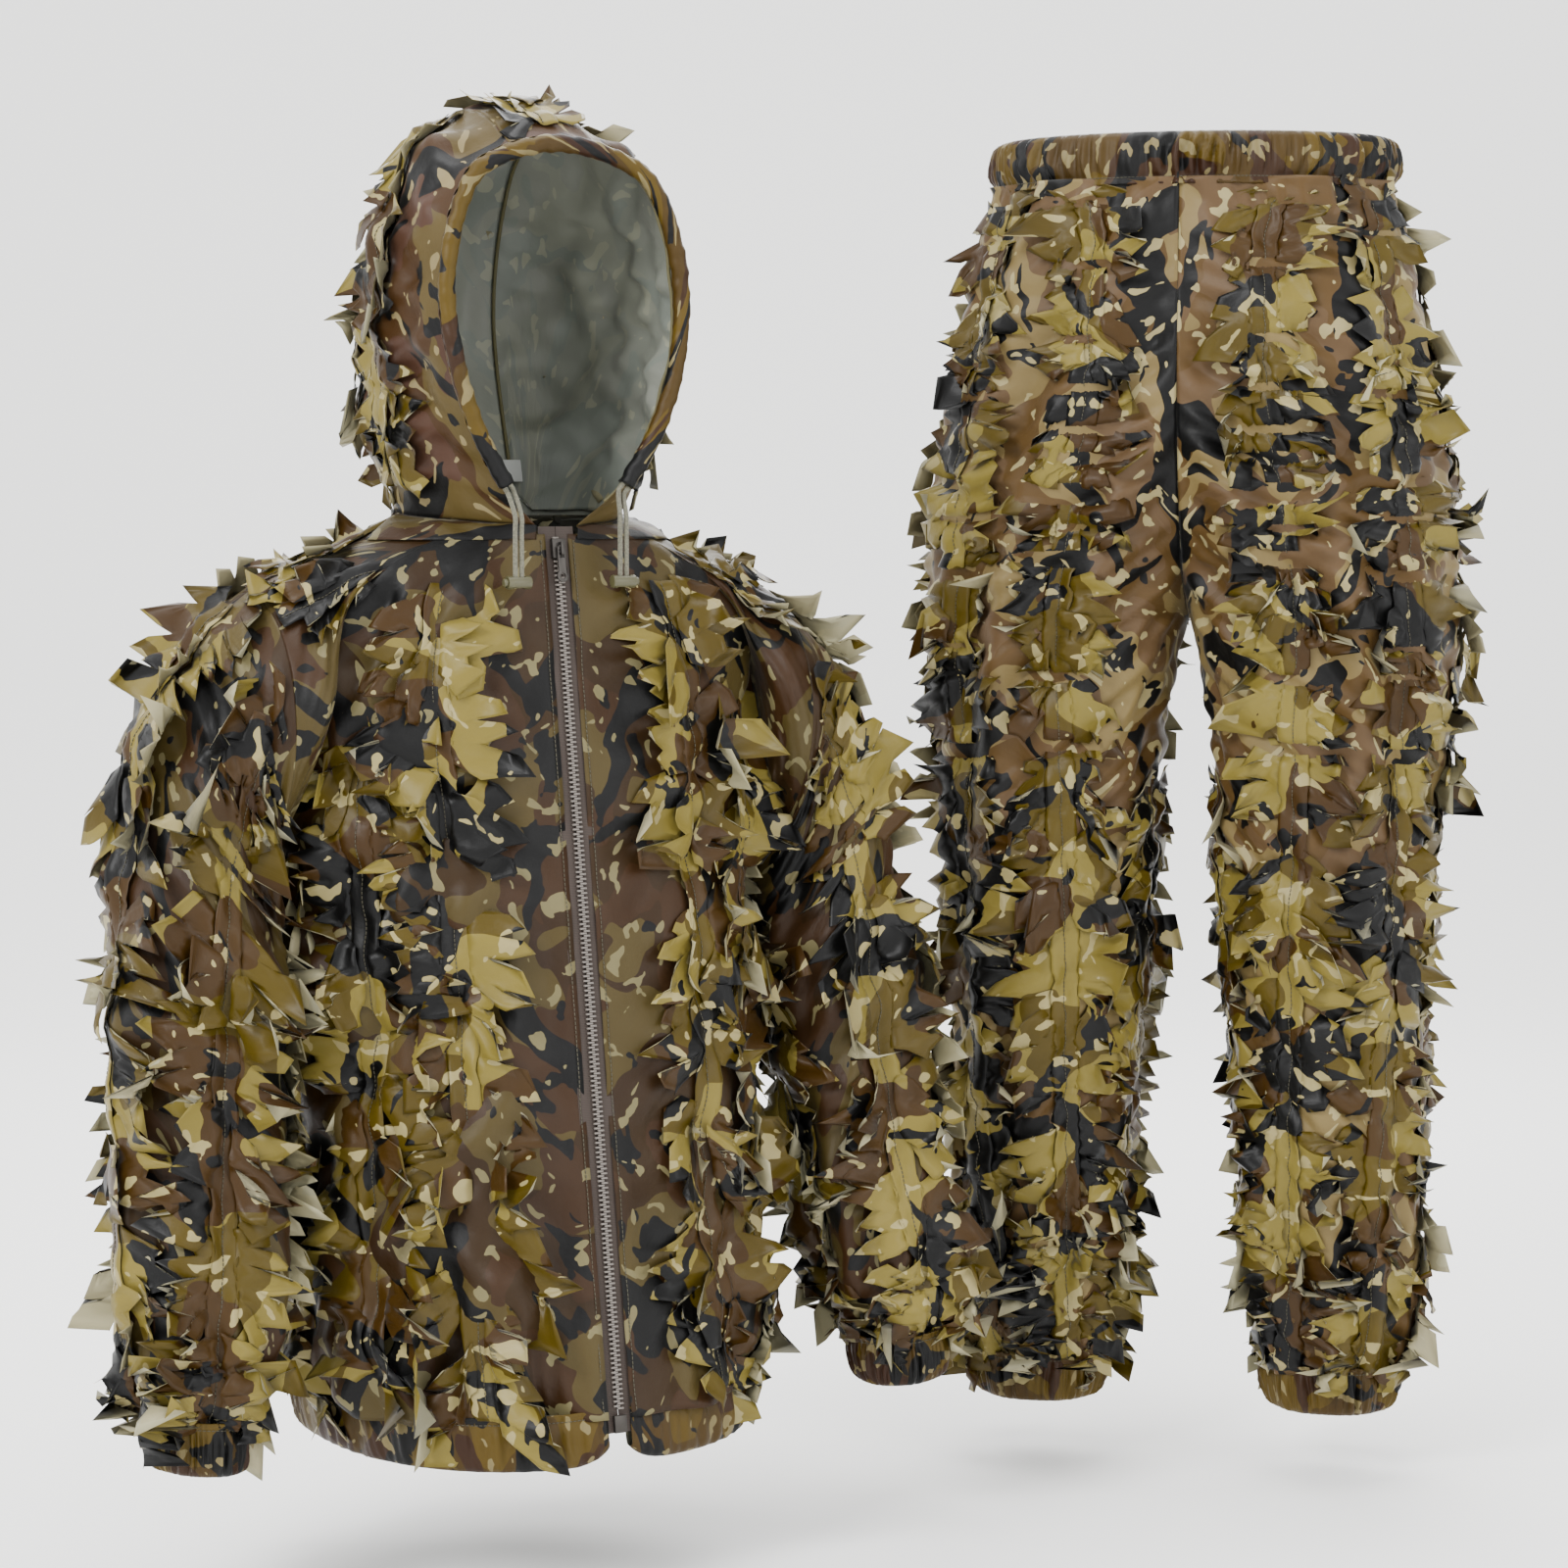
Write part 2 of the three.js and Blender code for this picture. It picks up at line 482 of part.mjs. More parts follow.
// The angle at which a leg's outside meets the centre seam; a whole half turn below the crotch.
function centreSeam(z) {
  const [x, wide] = smooth(LEG_STATIONS, z);
  const inner = Math.min(Math.max((x - GAP) / wide, 0), 1);
  return Math.PI / 2 + Math.asin(inner ** (LEG_SQUARE / 2));
}

// A half of the seat, from side seam to side seam across the centre, in front (way 1) or behind (way -1).
const seat = (way, top, foot) => (u, v) => {
  const z = mix(top, foot, v);
  const half = 2 * u - 1;
  const p = leg(way * mix(0.02, centreSeam(z), 1 - Math.abs(half)), z);
  return Math.abs(half) < 1e-9 ? vec(0, p.y, z) : vec(Math.sign(half) * Math.max(p.x, 0), p.y, z);
};
const HIPS = vec(0, 0, 120);           // points inside the seat and the left leg
const KNEE = vec(122, 0, -400);
add(trousers, 'seat_front', panel(seat(1, WAIST_SEAM - GAP, LEG_SEAM + 3), HIPS, 12, 5), BASE);
add(trousers, 'seat_back', panel(seat(-1, WAIST_SEAM - GAP, LEG_SEAM + 3), HIPS, 12, 5), BASE);

const WAIST_HALF = 167;         // half the waistband's width
const waist = (u, v) => {
  const p = leg(Math.PI / 2, mix(WAIST_TOP, WAIST_SEAM, v));
  const angle = 2 * Math.PI * u;
  return vec(WAIST_HALF * Math.sin(angle), p.y * Math.cos(angle), p.z);
};
add(trousers, 'waistband', panel(waist, HIPS, 24, 1, CASING, true), BASE_DARK);
const elastic = (u, v) => {
  const p = waist(u, mix(0.12, 0.88, v));
  return vec(p.x * 0.97, p.y * 0.958, p.z);
};
add(trousers, 'waist_elastic', panel(elastic, HIPS, 24, 1, 1, true), ELASTIC);

for (const [name, side] of SIDES) {
  const legPanel = flip(side, (u, v) => {
    const z = mix(LEG_SEAM, ANKLE_SEAM, v ** 1.25);
    return leg(mix(-1, 1, u) * (centreSeam(z) - 0.006), z);
  });
  const knee = inSide(side, KNEE);
  add(trousers, `leg_${name}`, panel(legPanel, knee, 14, 10), BASE);
  const ankle = flip(side, (u, v) => leg(2 * Math.PI * u, mix(ANKLE_SEAM - GAP, ANKLE_FOOT, v)));
  add(trousers, `ankle_casing_${name}`, panel(ankle, knee, 14, 1, GATHERED, true), BASE_DARK);
}

// ---- leaf strips ----
const bodySurface = (u, v) => body(u * 2 * Math.PI, mix(FRONT_TOP, HEM_SEAM + 4, v));
const turnOf = (angle) => degrees(angle) / (2 * Math.PI);
// [name, angle from the centre front at the hem, angle at the top, how far down it starts]
const BODY_STRIPS = [['front_inner', 29, 27, 0.06], ['front_outer', 57, 51, 0.29], ['back', 150, 148, 0.06]];
// [name, angle from the outer side at the waist, angle at the ankle]
const LEG_STRIPS = [
  ['front_inner', 60, 118], ['front_outer', 22, 62], ['side', 342, 360], ['back', 300, 275],
];
for (const [name, side] of SIDES) {
  for (const [place, low, high, start] of BODY_STRIPS) {
    const path = (t) => [turnOf(mix(high, low, t)), mix(start, 1, t)];
    const geometry = leafStrip(flip(side, bodySurface), TRUNK, path, 6, place === 'back' ? 44 : 38, 12);
    add(jacket, `leaf_strip_${place}_${name}`, geometry, LEAVES);
  }
  const sleeveSurface = flip(side, (u, v) => sleeve(u, mix(CAP_RINGS, CUFF_RING, v)));
  for (const [place, turn, half] of [['outer', 0, 42], ['front', 0.24, 40]]) {
    const path = (t) => [turn, mix(0.04, 0.97, t)];
    const geometry = leafStrip(sleeveSurface, inSide(side, ELBOW), path, 6, half, 12);
    add(jacket, `leaf_strip_sleeve_${place}_${name}`, geometry, LEAVES);
  }
  const hoodPath = (t) => [mix(0.12, 0.9, t), 0.38];
  add(jacket, `leaf_strip_hood_${name}`, leafStrip(flip(side, hoodSide), HEAD, hoodPath, 4, 34, 8), LEAVES);
  const legSurface = flip(side, (u, v) => leg(u * 2 * Math.PI, mix(WAIST_SEAM - 8, ANKLE_SEAM + 6, v)));
  for (const [place, high, low] of LEG_STRIPS) {
    const path = (t) => [turnOf(mix(high, low, Math.sqrt(t))), t];
    const geometry = leafStrip(legSurface, inSide(side, KNEE), path, 7, 38, 12);
    add(trousers, `leaf_strip_${place}_leg_${name}`, geometry, LEAVES);
  }
}
const crownPath = (t) => [0.5, mix(0.06, 0.9, t)];
add(jacket, 'leaf_strip_hood_crown', leafStrip(hoodBand, HEAD, crownPath, 5, 32, 8), LEAVES);

export default suit;
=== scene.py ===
# A two-piece leafy ghillie suit, hanging as it is worn: a hooded, zipped jacket beside a pair of trousers.
import json
import math
import bpy
import numpy as np
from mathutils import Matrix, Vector


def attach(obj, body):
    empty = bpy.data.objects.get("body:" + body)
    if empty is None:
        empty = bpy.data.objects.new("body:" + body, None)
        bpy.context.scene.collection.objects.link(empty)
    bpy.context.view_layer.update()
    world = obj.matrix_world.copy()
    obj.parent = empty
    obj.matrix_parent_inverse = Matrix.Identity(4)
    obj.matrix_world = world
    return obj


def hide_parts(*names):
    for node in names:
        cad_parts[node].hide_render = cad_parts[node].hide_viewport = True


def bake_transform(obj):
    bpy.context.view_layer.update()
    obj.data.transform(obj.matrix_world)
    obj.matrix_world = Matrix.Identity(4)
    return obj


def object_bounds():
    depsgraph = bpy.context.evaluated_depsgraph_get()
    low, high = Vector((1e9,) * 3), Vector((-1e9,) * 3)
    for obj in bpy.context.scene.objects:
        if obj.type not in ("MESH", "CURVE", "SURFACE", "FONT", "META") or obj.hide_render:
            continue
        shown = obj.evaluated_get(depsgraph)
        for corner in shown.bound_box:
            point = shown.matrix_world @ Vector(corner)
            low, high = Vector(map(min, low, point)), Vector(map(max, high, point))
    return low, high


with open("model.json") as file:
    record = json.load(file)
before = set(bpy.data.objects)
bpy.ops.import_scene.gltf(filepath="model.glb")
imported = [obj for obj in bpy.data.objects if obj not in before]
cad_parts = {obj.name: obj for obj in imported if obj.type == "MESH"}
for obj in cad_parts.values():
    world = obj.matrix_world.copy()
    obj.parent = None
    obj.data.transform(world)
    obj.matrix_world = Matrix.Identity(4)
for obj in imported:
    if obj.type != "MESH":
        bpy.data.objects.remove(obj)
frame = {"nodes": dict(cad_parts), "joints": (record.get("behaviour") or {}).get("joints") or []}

cad_bounds = [list(corner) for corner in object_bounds()]
TAU = 2 * math.pi

# ---- The studio ----
# The camera stands at chest height between the two garments and looks slightly down.
camera = bpy.data.objects.new("camera", bpy.data.cameras.new("camera"))
bpy.context.scene.collection.objects.link(camera)
camera.data.lens = 85.4
camera.data.sensor_width = 36
camera.location = (0.2154, -2.92, 0)
looking_at = Vector((0.2154, 0, -0.223))
camera.rotation_euler = (looking_at - camera.location).to_track_quat("-Z", "Y").to_euler()
bpy.context.scene.camera = camera


def node(tree, kind, settings, inputs):
    """A shader node with its settings; an input is a value, or the socket that feeds it."""
    new = tree.nodes.new("ShaderNode" + kind)
    for name, value in settings.items():
        setattr(new, name, value)
    for name, value in inputs.items():
        if isinstance(value, bpy.types.NodeSocket):
            tree.links.new(value, new.inputs[name])
        else:
            new.inputs[name].default_value = value
    return new


def new_material(name):
    """An empty material, its node tree and its Principled BSDF, wired to the output."""
    material = bpy.data.materials.new(name)
    material.use_nodes = True
    tree = material.node_tree
    tree.nodes.clear()
    shader = node(tree, "BsdfPrincipled", {}, {})
    node(tree, "OutputMaterial", {}, {"Surface": shader.outputs["BSDF"]})
    return material, tree, shader


# The floor is pale paper that curves up into a backdrop far behind the suit.
def paper_sweep(across, along):
    """Flat for 7 metres, then a quarter circle of 2 metres' radius, then straight up."""
    flat, radius = 7.0, 2.0
    turn = np.clip((along - flat) / radius, 0, math.pi / 2)
    rise = np.maximum(along - flat - radius * math.pi / 2, 0)
    y = np.minimum(along, flat) + radius * np.sin(turn) - 4
    z = radius * (1 - np.cos(turn)) + rise
    return np.stack([across, y, z], -1)


def mesh_piece(name, points, quads, print_at=None, print_quads=None):
    """A smooth mesh object from points and quads; print_at gives each point's place on the flat cloth."""
    mesh = bpy.data.meshes.new(name)
    mesh.vertices.add(len(points))
    mesh.vertices.foreach_set("co", np.ascontiguousarray(points, np.float32).ravel())
    mesh.loops.add(quads.size)
    mesh.loops.foreach_set("vertex_index", quads.ravel().astype(np.int32))
    mesh.polygons.add(len(quads))
    mesh.polygons.foreach_set("loop_start", np.arange(0, quads.size, 4, dtype=np.int32))
    if print_at is not None:
        places = print_at[(quads if print_quads is None else print_quads).ravel()]
        mesh.uv_layers.new(name="print").data.foreach_set("uv", places.astype(np.float32).ravel())
    mesh.update(calc_edges=True)
    mesh.shade_smooth()
    piece = bpy.data.objects.new(name, mesh)
    bpy.context.scene.collection.objects.link(piece)
    return piece


def grid_quads(rows, columns, ring=False):
    """The quads of a grid of points, row by row; a ring's last column meets its first."""
    r = np.arange(rows - 1)[:, None]
    c = np.arange(columns if ring else columns - 1)[None, :]
    ahead = (c + 1) % columns
    corners = [r * columns + c, (r + 1) * columns + c, (r + 1) * columns + ahead, r * columns + ahead]
    return np.stack(np.broadcast_arrays(*corners), -1).reshape(-1, 4)


floor_level = cad_bounds[0][2] - 0.055
across, along = np.meshgrid(np.linspace(-9, 9, 13), np.linspace(0, 14, 57))
sweep = paper_sweep(across, along).reshape(-1, 3) + [0, 0, floor_level]
backdrop = mesh_piece("paper_backdrop", sweep, grid_quads(57, 13)[:, ::-1])
paper, tree, shader = new_material("pale_paper")
shader.inputs["Base Color"].default_value = (0.92, 0.92, 0.91, 1)
shader.inputs["Roughness"].default_value = 0.9
backdrop.data.materials.append(paper)

world = bpy.data.worlds.new("studio")
world.use_nodes = True
world.node_tree.nodes["Background"].inputs["Color"].default_value = (1, 1, 1, 1)
world.node_tree.nodes["Background"].inputs["Strength"].default_value = 1.9
bpy.context.scene.world = world

# Soft boxes: [name, place, size across and up, watts]
for name, place, size, watts in [
    ("key_light", (-1.9, -3.0, 2.2), (1.4, 1.4), 190),
    ("fill_light", (2.9, -2.6, 0.9), (1.8, 1.8), 55),
    ("top_light", (0.3, 0.3, 2.9), (2.4, 1.6), 90),
    ("back_light", (0.6, 2.6, 1.6), (3.0, 1.2), 90),
]:
    lamp = bpy.data.lights.new(name, "AREA")
    lamp.shape = "RECTANGLE"
    lamp.size, lamp.size_y = size
    lamp.energy = watts
    light = bpy.data.objects.new(name, lamp)
    light.location = place
    light.rotation_euler = (Vector((0.25, 0.1, -0.25)) - Vector(place)).to_track_quat("-Z", "Y").to_euler()
    bpy.context.scene.collection.objects.link(light)


# ---- How the garments stand ----
# Each garment is worked out facing -Y, with the wearer's left at +X, and is then turned to the way it hangs.
joints = {joint["name"]: joint for joint in frame["joints"]}
hood_axis = joints["hood_fold"]["axis"]
JACKET_TURN = math.atan2(-hood_axis[1], -hood_axis[0])
waist_ends = [np.array(joints[f"leg_{side}_swing"]["pos_m"]) for side in ("right", "left")]
TROUSER_TURN = math.atan2(*(waist_ends[1] - waist_ends[0])[[1, 0]])
TROUSERS_AT = (waist_ends[0] + waist_ends[1]) / 2 * [1, 1, 0]
SIDES = (("right", -1), ("left", 1))


def in_jacket(points):
    """Points of the jacket's own frame, turned about the upright axis into the suit's frame."""
    c, s = math.cos(JACKET_TURN), math.sin(JACKET_TURN)
    return np.asarray(points, float) @ np.array([[c, s, 0], [-s, c, 0], [0, 0, 1]])


def in_trousers(points):
    """Points of the trousers' own frame, turned and moved into the suit's frame."""
    c, s = math.cos(TROUSER_TURN), math.sin(TROUSER_TURN)
    return np.asarray(points, float) @ np.array([[c, s, 0], [-s, c, 0], [0, 0, 1]]) + TROUSERS_AT


def through(knots, rows, t):
    """A curve through rows at t: cubics whose slopes come from each row's two neighbours, level beyond."""
    knots = np.asarray(knots, float)
    t = np.asarray(t, float)
    shape = t.shape
    t = np.clip(t.ravel(), knots.min(), knots.max())
    rows = np.asarray(rows, float)
    if rows.ndim == 2:
        rows = rows[:, None, :]
    rows = np.broadcast_to(rows, (len(knots), t.size, rows.shape[-1]))
    way = np.sign(knots[-1] - knots[0])
    i = np.clip(np.searchsorted(way * knots, way * t, side="right") - 1, 0, len(knots) - 2)
    k = np.arange(len(knots))
    low, high = np.maximum(k - 1, 0), np.minimum(k + 1, len(knots) - 1)
    slopes = (rows[high] - rows[low]) / (knots[high] - knots[low])[:, None, None]
    n = np.arange(t.size)
    span = (knots[i + 1] - knots[i])[:, None]
    s = (t - knots[i])[:, None] / span
    start, end = rows[i, n], rows[i + 1, n]
    leave, arrive, jump = slopes[i, n] * span, slopes[i + 1, n] * span, rows[i + 1, n] - rows[i, n]
    found = start + s * (leave + s * (3 * jump - 2 * leave - arrive + s * (leave + arrive - 2 * jump)))
    return found.reshape(shape + (rows.shape[-1],))


def mirrored(points, side):
    """The wearer's left at +X; the right is its mirror image."""
    return points * [side, 1, 1]


def run_along(path):
    """The length of the path up to each of its points."""
    return np.r_[0, np.cumsum(np.linalg.norm(np.diff(path, axis=0), axis=1))]


TINY = 1e-9


def unit(vectors, least=0.0):
    """The same directions, one long; with least at TINY, a vector of no length stays as it is."""
    return vectors / (np.linalg.norm(vectors, axis=-1)[..., None] + least)


# ---- Hood shape ----
# Its side panel's net: rows from the face edge to the back, each from the neck seam up to the centre seam.
HOOD_HALF_BAND = 0.036
HOOD_NET = np.array([
    [[17, -86, -20], [52, -96, 14], [86, -99, 80], [98, -96, 160], [78, -92, 236], [37, -90, 264]],
    [[62, -62, -16], [86, -66, 36], [104, -58, 100], [108, -52, 182], [82, -46, 260], [37, -42, 292]],
    [[88, -12, -12], [101, -8, 40], [111, 0, 105], [107, 6, 188], [76, 12, 264], [37, 18, 298]],
    [[84, 32, -8], [93, 44, 44], [98, 56, 105], [90, 66, 172], [64, 74, 228], [37, 80, 254]],
    [[66, 50, -8], [72, 70, 30], [74, 86, 68], [66, 98, 104], [52, 106, 132], [37, 110, 148]],
    [[48, 60, -8], [46, 64, -4], [44, 68, -1], [42, 71, 2], [40, 73, 4], [37, 74, 6]],
]) / 1000


def hood_side(u, v):
    """The net's rows at u, from the neck up to the centre seam, joined by a curve at v, from face to back."""
    u, v = np.broadcast_arrays(np.asarray(u, float), np.asarray(v, float))
    knots = np.linspace(0, 1, 6)
    rows = np.stack([through(knots, row, u.ravel()) for row in HOOD_NET])
    return through(knots, rows, v.ravel()).reshape(u.shape + (3,))


# ---- Drawcord ----
# A round sage-grey braid, 4 mm thick, doubled where it leaves each end of the hood's channel, with a
# barrel-shaped cord lock on each pair. Each strand hangs free for about 80 mm.
CORD_RADIUS = 0.002
STRAND_APART = 0.0026
LOCK = np.array([0.044, -0.112, -0.062])


def braided_tube(name, path, radius):
    """A round tube along the path whose radius swells where the braid's crossing yarns come over."""
    steps = len(path)
    ahead = unit(np.gradient(path, axis=0))
    side = unit(np.cross(ahead, [0, 1, 0]))
    up = np.cross(ahead, side)
    turn = np.arange(12) * TAU / 12
    run = run_along(path)[:, None]
    yarn = np.sin(3 * turn + run * 1500) * np.sin(3 * turn - run * 1500)
    reach = (radius * (0.97 + 0.07 * yarn))[:, :, None]
    rings = path[:, None] + reach * (np.cos(turn)[None, :, None] * side[:, None]
                                     + np.sin(turn)[None, :, None] * up[:, None])
    points = np.concatenate([rings.reshape(-1, 3), path[:1], path[-1:]])
    quads = grid_quads(steps, 12, ring=True)
    # each end is closed by six quads round a point in its middle
    k = np.arange(0, 12, 2)
    start = np.stack([np.full(6, 12 * steps), k, k + 1, (k + 2) % 12], -1)
    last_ring = 12 * (steps - 1)
    end = np.stack([np.full(6, 12 * steps + 1), last_ring + (k + 2) % 12, last_ring + k + 1,
                    last_ring + k], -1)
    return mesh_piece(name, points, np.concatenate([quads, start, end]))


CHANNEL_FOOT = 0.19
CHANNEL_AHEAD = np.array([0, 0.009, 0])
exit_at = hood_side(CHANNEL_FOOT, 0.0) - CHANNEL_AHEAD
exit_way = unit(hood_side(CHANNEL_FOOT, 0.0) - hood_side(CHANNEL_FOOT + 0.06, 0.0))
exit_across = unit(np.cross(exit_way, [0, 1, 0]))


def cord_route(strand):
    """Out of the channel along its run, then over to the lock and straight down into it."""
    beside = exit_across * strand * STRAND_APART
    x = LOCK[0] + strand * STRAND_APART
    marks = [exit_at + exit_way * 0.0004 + beside, exit_at + exit_way * 0.007 + beside,
             [x, LOCK[1], -0.012]] + [[x, LOCK[1], z] for z in (-0.024, -0.038, -0.052, LOCK[2] - 0.004)]
    run = run_along(marks)
    return through(run, marks, np.linspace(0, run[-1], 70))


cord_material, tree, shader = new_material("drawcord_braid")
coordinates = node(tree, "TexCoord", {}, {})
shade = node(tree, "TexNoise", {}, {"Vector": coordinates.outputs["Object"], "Scale": 700, "Detail": 2})
colour = node(tree, "ValToRGB", {}, {"Fac": shade.outputs["Fac"]})
colour.color_ramp.elements[0].position = 0.3
colour.color_ramp.elements[0].color = (0.05, 0.048, 0.03, 1)
colour.color_ramp.elements[1].position = 0.7
colour.color_ramp.elements[1].color = (0.125, 0.12, 0.08, 1)
tree.links.new(colour.outputs["Color"], shader.inputs["Base Color"])
shader.inputs["Roughness"].default_value = 0.75
shader.inputs["Sheen Weight"].default_value = 0.25

lock_material, tree, shader = new_material("lock_plastic")
coordinates = node(tree, "TexCoord", {}, {})
grain = node(tree, "TexNoise", {}, {"Vector": coordinates.outputs["Object"], "Scale": 900, "Detail": 3})
colour = node(tree, "ValToRGB", {}, {"Fac": grain.outputs["Fac"]})
colour.color_ramp.elements[0].color = (0.04, 0.037, 0.014, 1)
colour.color_ramp.elements[1].color = (0.068, 0.063, 0.026, 1)
tree.links.new(colour.outputs["Color"], shader.inputs["Base Color"])
bump = node(tree, "Bump", {}, {"Height": grain.outputs["Fac"], "Strength": 0.15, "Distance": 0.0002})
tree.links.new(bump.outputs["Normal"], shader.inputs["Normal"])
shader.inputs["Roughness"].default_value = 0.42


def rounded_copy(name, cad_node, width):
    """A copy of a hard CAD piece: merged, its flat triangles joined, and its edges rounded."""
    piece = bpy.data.objects.new(name, frame["nodes"][cad_node].data.copy())
    bpy.context.scene.collection.objects.link(piece)
    weld = piece.modifiers.new("merge", "WELD")
    weld.merge_threshold = 1e-5
    flats = piece.modifiers.new("join_flats", "DECIMATE")
    flats.decimate_type = "DISSOLVE"
    flats.angle_limit = math.radians(1)
    bevel = piece.modifiers.new("round_edges", "BEVEL")
    bevel.width = width
    bevel.segments = 2
    bevel.angle_limit = math.radians(35)
    piece.data.materials.clear()
    piece.data.shade_smooth()
    return piece


def bar_quads(count, side=1):
    """The six faces of each of count bars with eight corners, turned inside out for a mirrored bar."""
    faces = np.array([[0, 2, 3, 1], [4, 5, 7, 6], [0, 1, 5, 4], [2, 6, 7, 3], [0, 4, 6, 2], [1, 3, 7, 5]])
    return (faces[None, :, ::side] + 8 * np.arange(count)[:, None, None]).reshape(-1, 4)


def stitches(name, path, away, pitch=0.0034, thick=0.0003):
    """A row of stitches along a path: thin bars, a little apart, on the side to which away points."""
    run = run_along(path)
    at = np.arange(pitch / 2, run[-1], pitch)
    middle, ahead, up = (np.stack([np.interp(at, run, row) for row in rows.T], -1)
                         for rows in (path, np.gradient(path, axis=0), away))
    ahead = unit(ahead)
    side = unit(np.cross(ahead, up))
    half_length = 0.36 * pitch
    sunk = 0.7
    corners = np.array([[a, b, c] for c in (-1, 1) for b in (-1, 1) for a in (-1, 1)])
    points = (middle[:, None] + corners[None, :, :1] * ahead[:, None] * half_length
              + corners[None, :, 1:2] * side[:, None] * thick
              + (corners[None, :, 2:] + sunk) * up[:, None] * thick)
    row = mesh_piece(name, points.reshape(-1, 3), bar_quads(len(at)))
    row.data.materials.append(thread_material)
    return row


thread_material, tree, shader = new_material("sewing_thread")
shader.inputs["Base Color"].default_value = (0.045, 0.04, 0.022, 1)
shader.inputs["Roughness"].default_value = 0.6

for side_name, side in SIDES:
    for part, width in (("cord_lock", 0.0005), ("lock_button", 0.0006)):
        piece = rounded_copy(f"{part}_moulded_{side_name}", f"{part}_{side_name}", width)
        piece.data.materials.append(lock_material)
        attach(piece, f"{'lock' if part == 'cord_lock' else 'button'}_{side_name}")
        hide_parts(f"{part}_{side_name}")
    for strand_name, strand in (("outer", 1), ("inner", -1)):
        route = in_jacket(mirrored(cord_route(strand), side))
        cord = braided_tube(f"drawcord_braid_{side_name}_{strand_name}", route, CORD_RADIUS)
        cord.data.materials.append(cord_material)
        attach(cord, "hood")
        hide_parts(f"drawcord_{side_name}_{strand_name}")


# ---- Printed cloth ----
# The suit is cut from thin printed polyester with a soft sheen: a brown woodland print for the garments,
# a greener one for the leaf strips, and a pale unprinted reverse.
def srgb(code):
    """A hex colour as linear red, green, blue and alpha."""
    values = np.array([int(code[i:i + 2], 16) for i in (0, 2, 4)]) / 255
    linear = np.where(values < 0.04, values / 12.92, ((values + 0.055) / 1.055) ** 2.4)
    return (*linear.tolist(), 1.0)


def group_sockets(name, inputs, outputs):
    """A shader node group with these inputs and outputs, each [name, socket type]."""
    tree = bpy.data.node_groups.new(name, "ShaderNodeTree")
    for direction, sockets in (("INPUT", inputs), ("OUTPUT", outputs)):
        for label, kind in sockets:
            tree.interface.new_socket(label, in_out=direction, socket_type="NodeSocket" + kind)
    return tree, tree.nodes.new("NodeGroupInput").outputs, tree.nodes.new("NodeGroupOutput").inputs


def above(tree, value, level):
    """1 where the value is over the level, else 0."""
    test = tree.nodes.new("ShaderNodeMath")
    test.operation = "GREATER_THAN"
    tree.links.new(value, test.inputs[0])
    test.inputs[1].default_value = level
    return test.outputs[0]


def painted(tree, mask, under, over):
    """The colour under, with the colour over where the mask is 1."""
    mix = tree.nodes.new("ShaderNodeMix")
    mix.data_type = "RGBA"
    tree.links.new(mask, mix.inputs["Factor"])
    for socket, colour in ((mix.inputs[6], under), (mix.inputs[7], over)):
        if isinstance(colour, bpy.types.NodeSocket):
            tree.links.new(colour, socket)
        else:
            socket.default_value = colour
    return mix.outputs[2]


def woodland_group():
    """A camouflage print: patches of four colours under dark branches, with small pale spots."""
    colours = ["Ground", "Patch", "Shade", "Dark", "Spot"]
    inputs = [("Vector", "Vector")] + [(label, "Color") for label in colours] + [("Darkness", "Float")]
    tree, given, result = group_sockets("woodland_print", inputs, [("Color", "Color")])
    wander = node(tree, "TexNoise", {"noise_dimensions": "2D"},
                  {"Vector": given["Vector"], "Scale": 16, "Detail": 2})
    centred = node(tree, "VectorMath", {"operation": "MULTIPLY_ADD"}, {})
    tree.links.new(wander.outputs["Color"], centred.inputs[0])
    centred.inputs[1].default_value = (0.035, 0.035, 0)
    tree.links.new(given["Vector"], centred.inputs[2])
    place = centred.outputs["Vector"]

    def noise(scale, shift, detail=1.5, turn=0.0, stretch=1.0):
        """Cloudy values on the print, shifted, turned and drawn out along one way."""
        moved = node(tree, "Mapping", {"vector_type": "TEXTURE"},
                     {"Vector": place, "Location": (shift, shift * 0.7, 0), "Rotation": (0, 0, turn),
                      "Scale": (stretch, 1, 1)})
        return node(tree, "TexNoise", {"noise_dimensions": "2D"},
                    {"Vector": moved.outputs["Vector"], "Scale": scale, "Detail": detail,
                     "Roughness": 0.55}).outputs["Fac"]

    colour = painted(tree, above(tree, noise(10, 0.0), 0.5), given["Ground"], given["Patch"])
    colour = painted(tree, above(tree, noise(14, 3.1), 0.56), colour, given["Shade"])
    branch_level = tree.nodes.new("ShaderNodeMath")
    branch_level.operation = "SUBTRACT"
    branch_level.inputs[0].default_value = 0.66
    tree.links.new(given["Darkness"], branch_level.inputs[1])
    for shift, turn in ((7.7, 0.75), (11.3, -1.1)):
        test = tree.nodes.new("ShaderNodeMath")
        test.operation = "GREATER_THAN"
        tree.links.new(noise(15, shift, 2.5, turn, 4.0), test.inputs[0])
        tree.links.new(branch_level.outputs[0], test.inputs[1])
        colour = painted(tree, test.outputs[0], colour, given["Dark"])
    colour = painted(tree, above(tree, noise(19, 5.9, 2.5), 0.64), colour, given["Dark"])
    colour = painted(tree, above(tree, noise(50, 9.4), 0.66), colour, given["Spot"])
    tree.links.new(colour, result["Color"])
    return tree


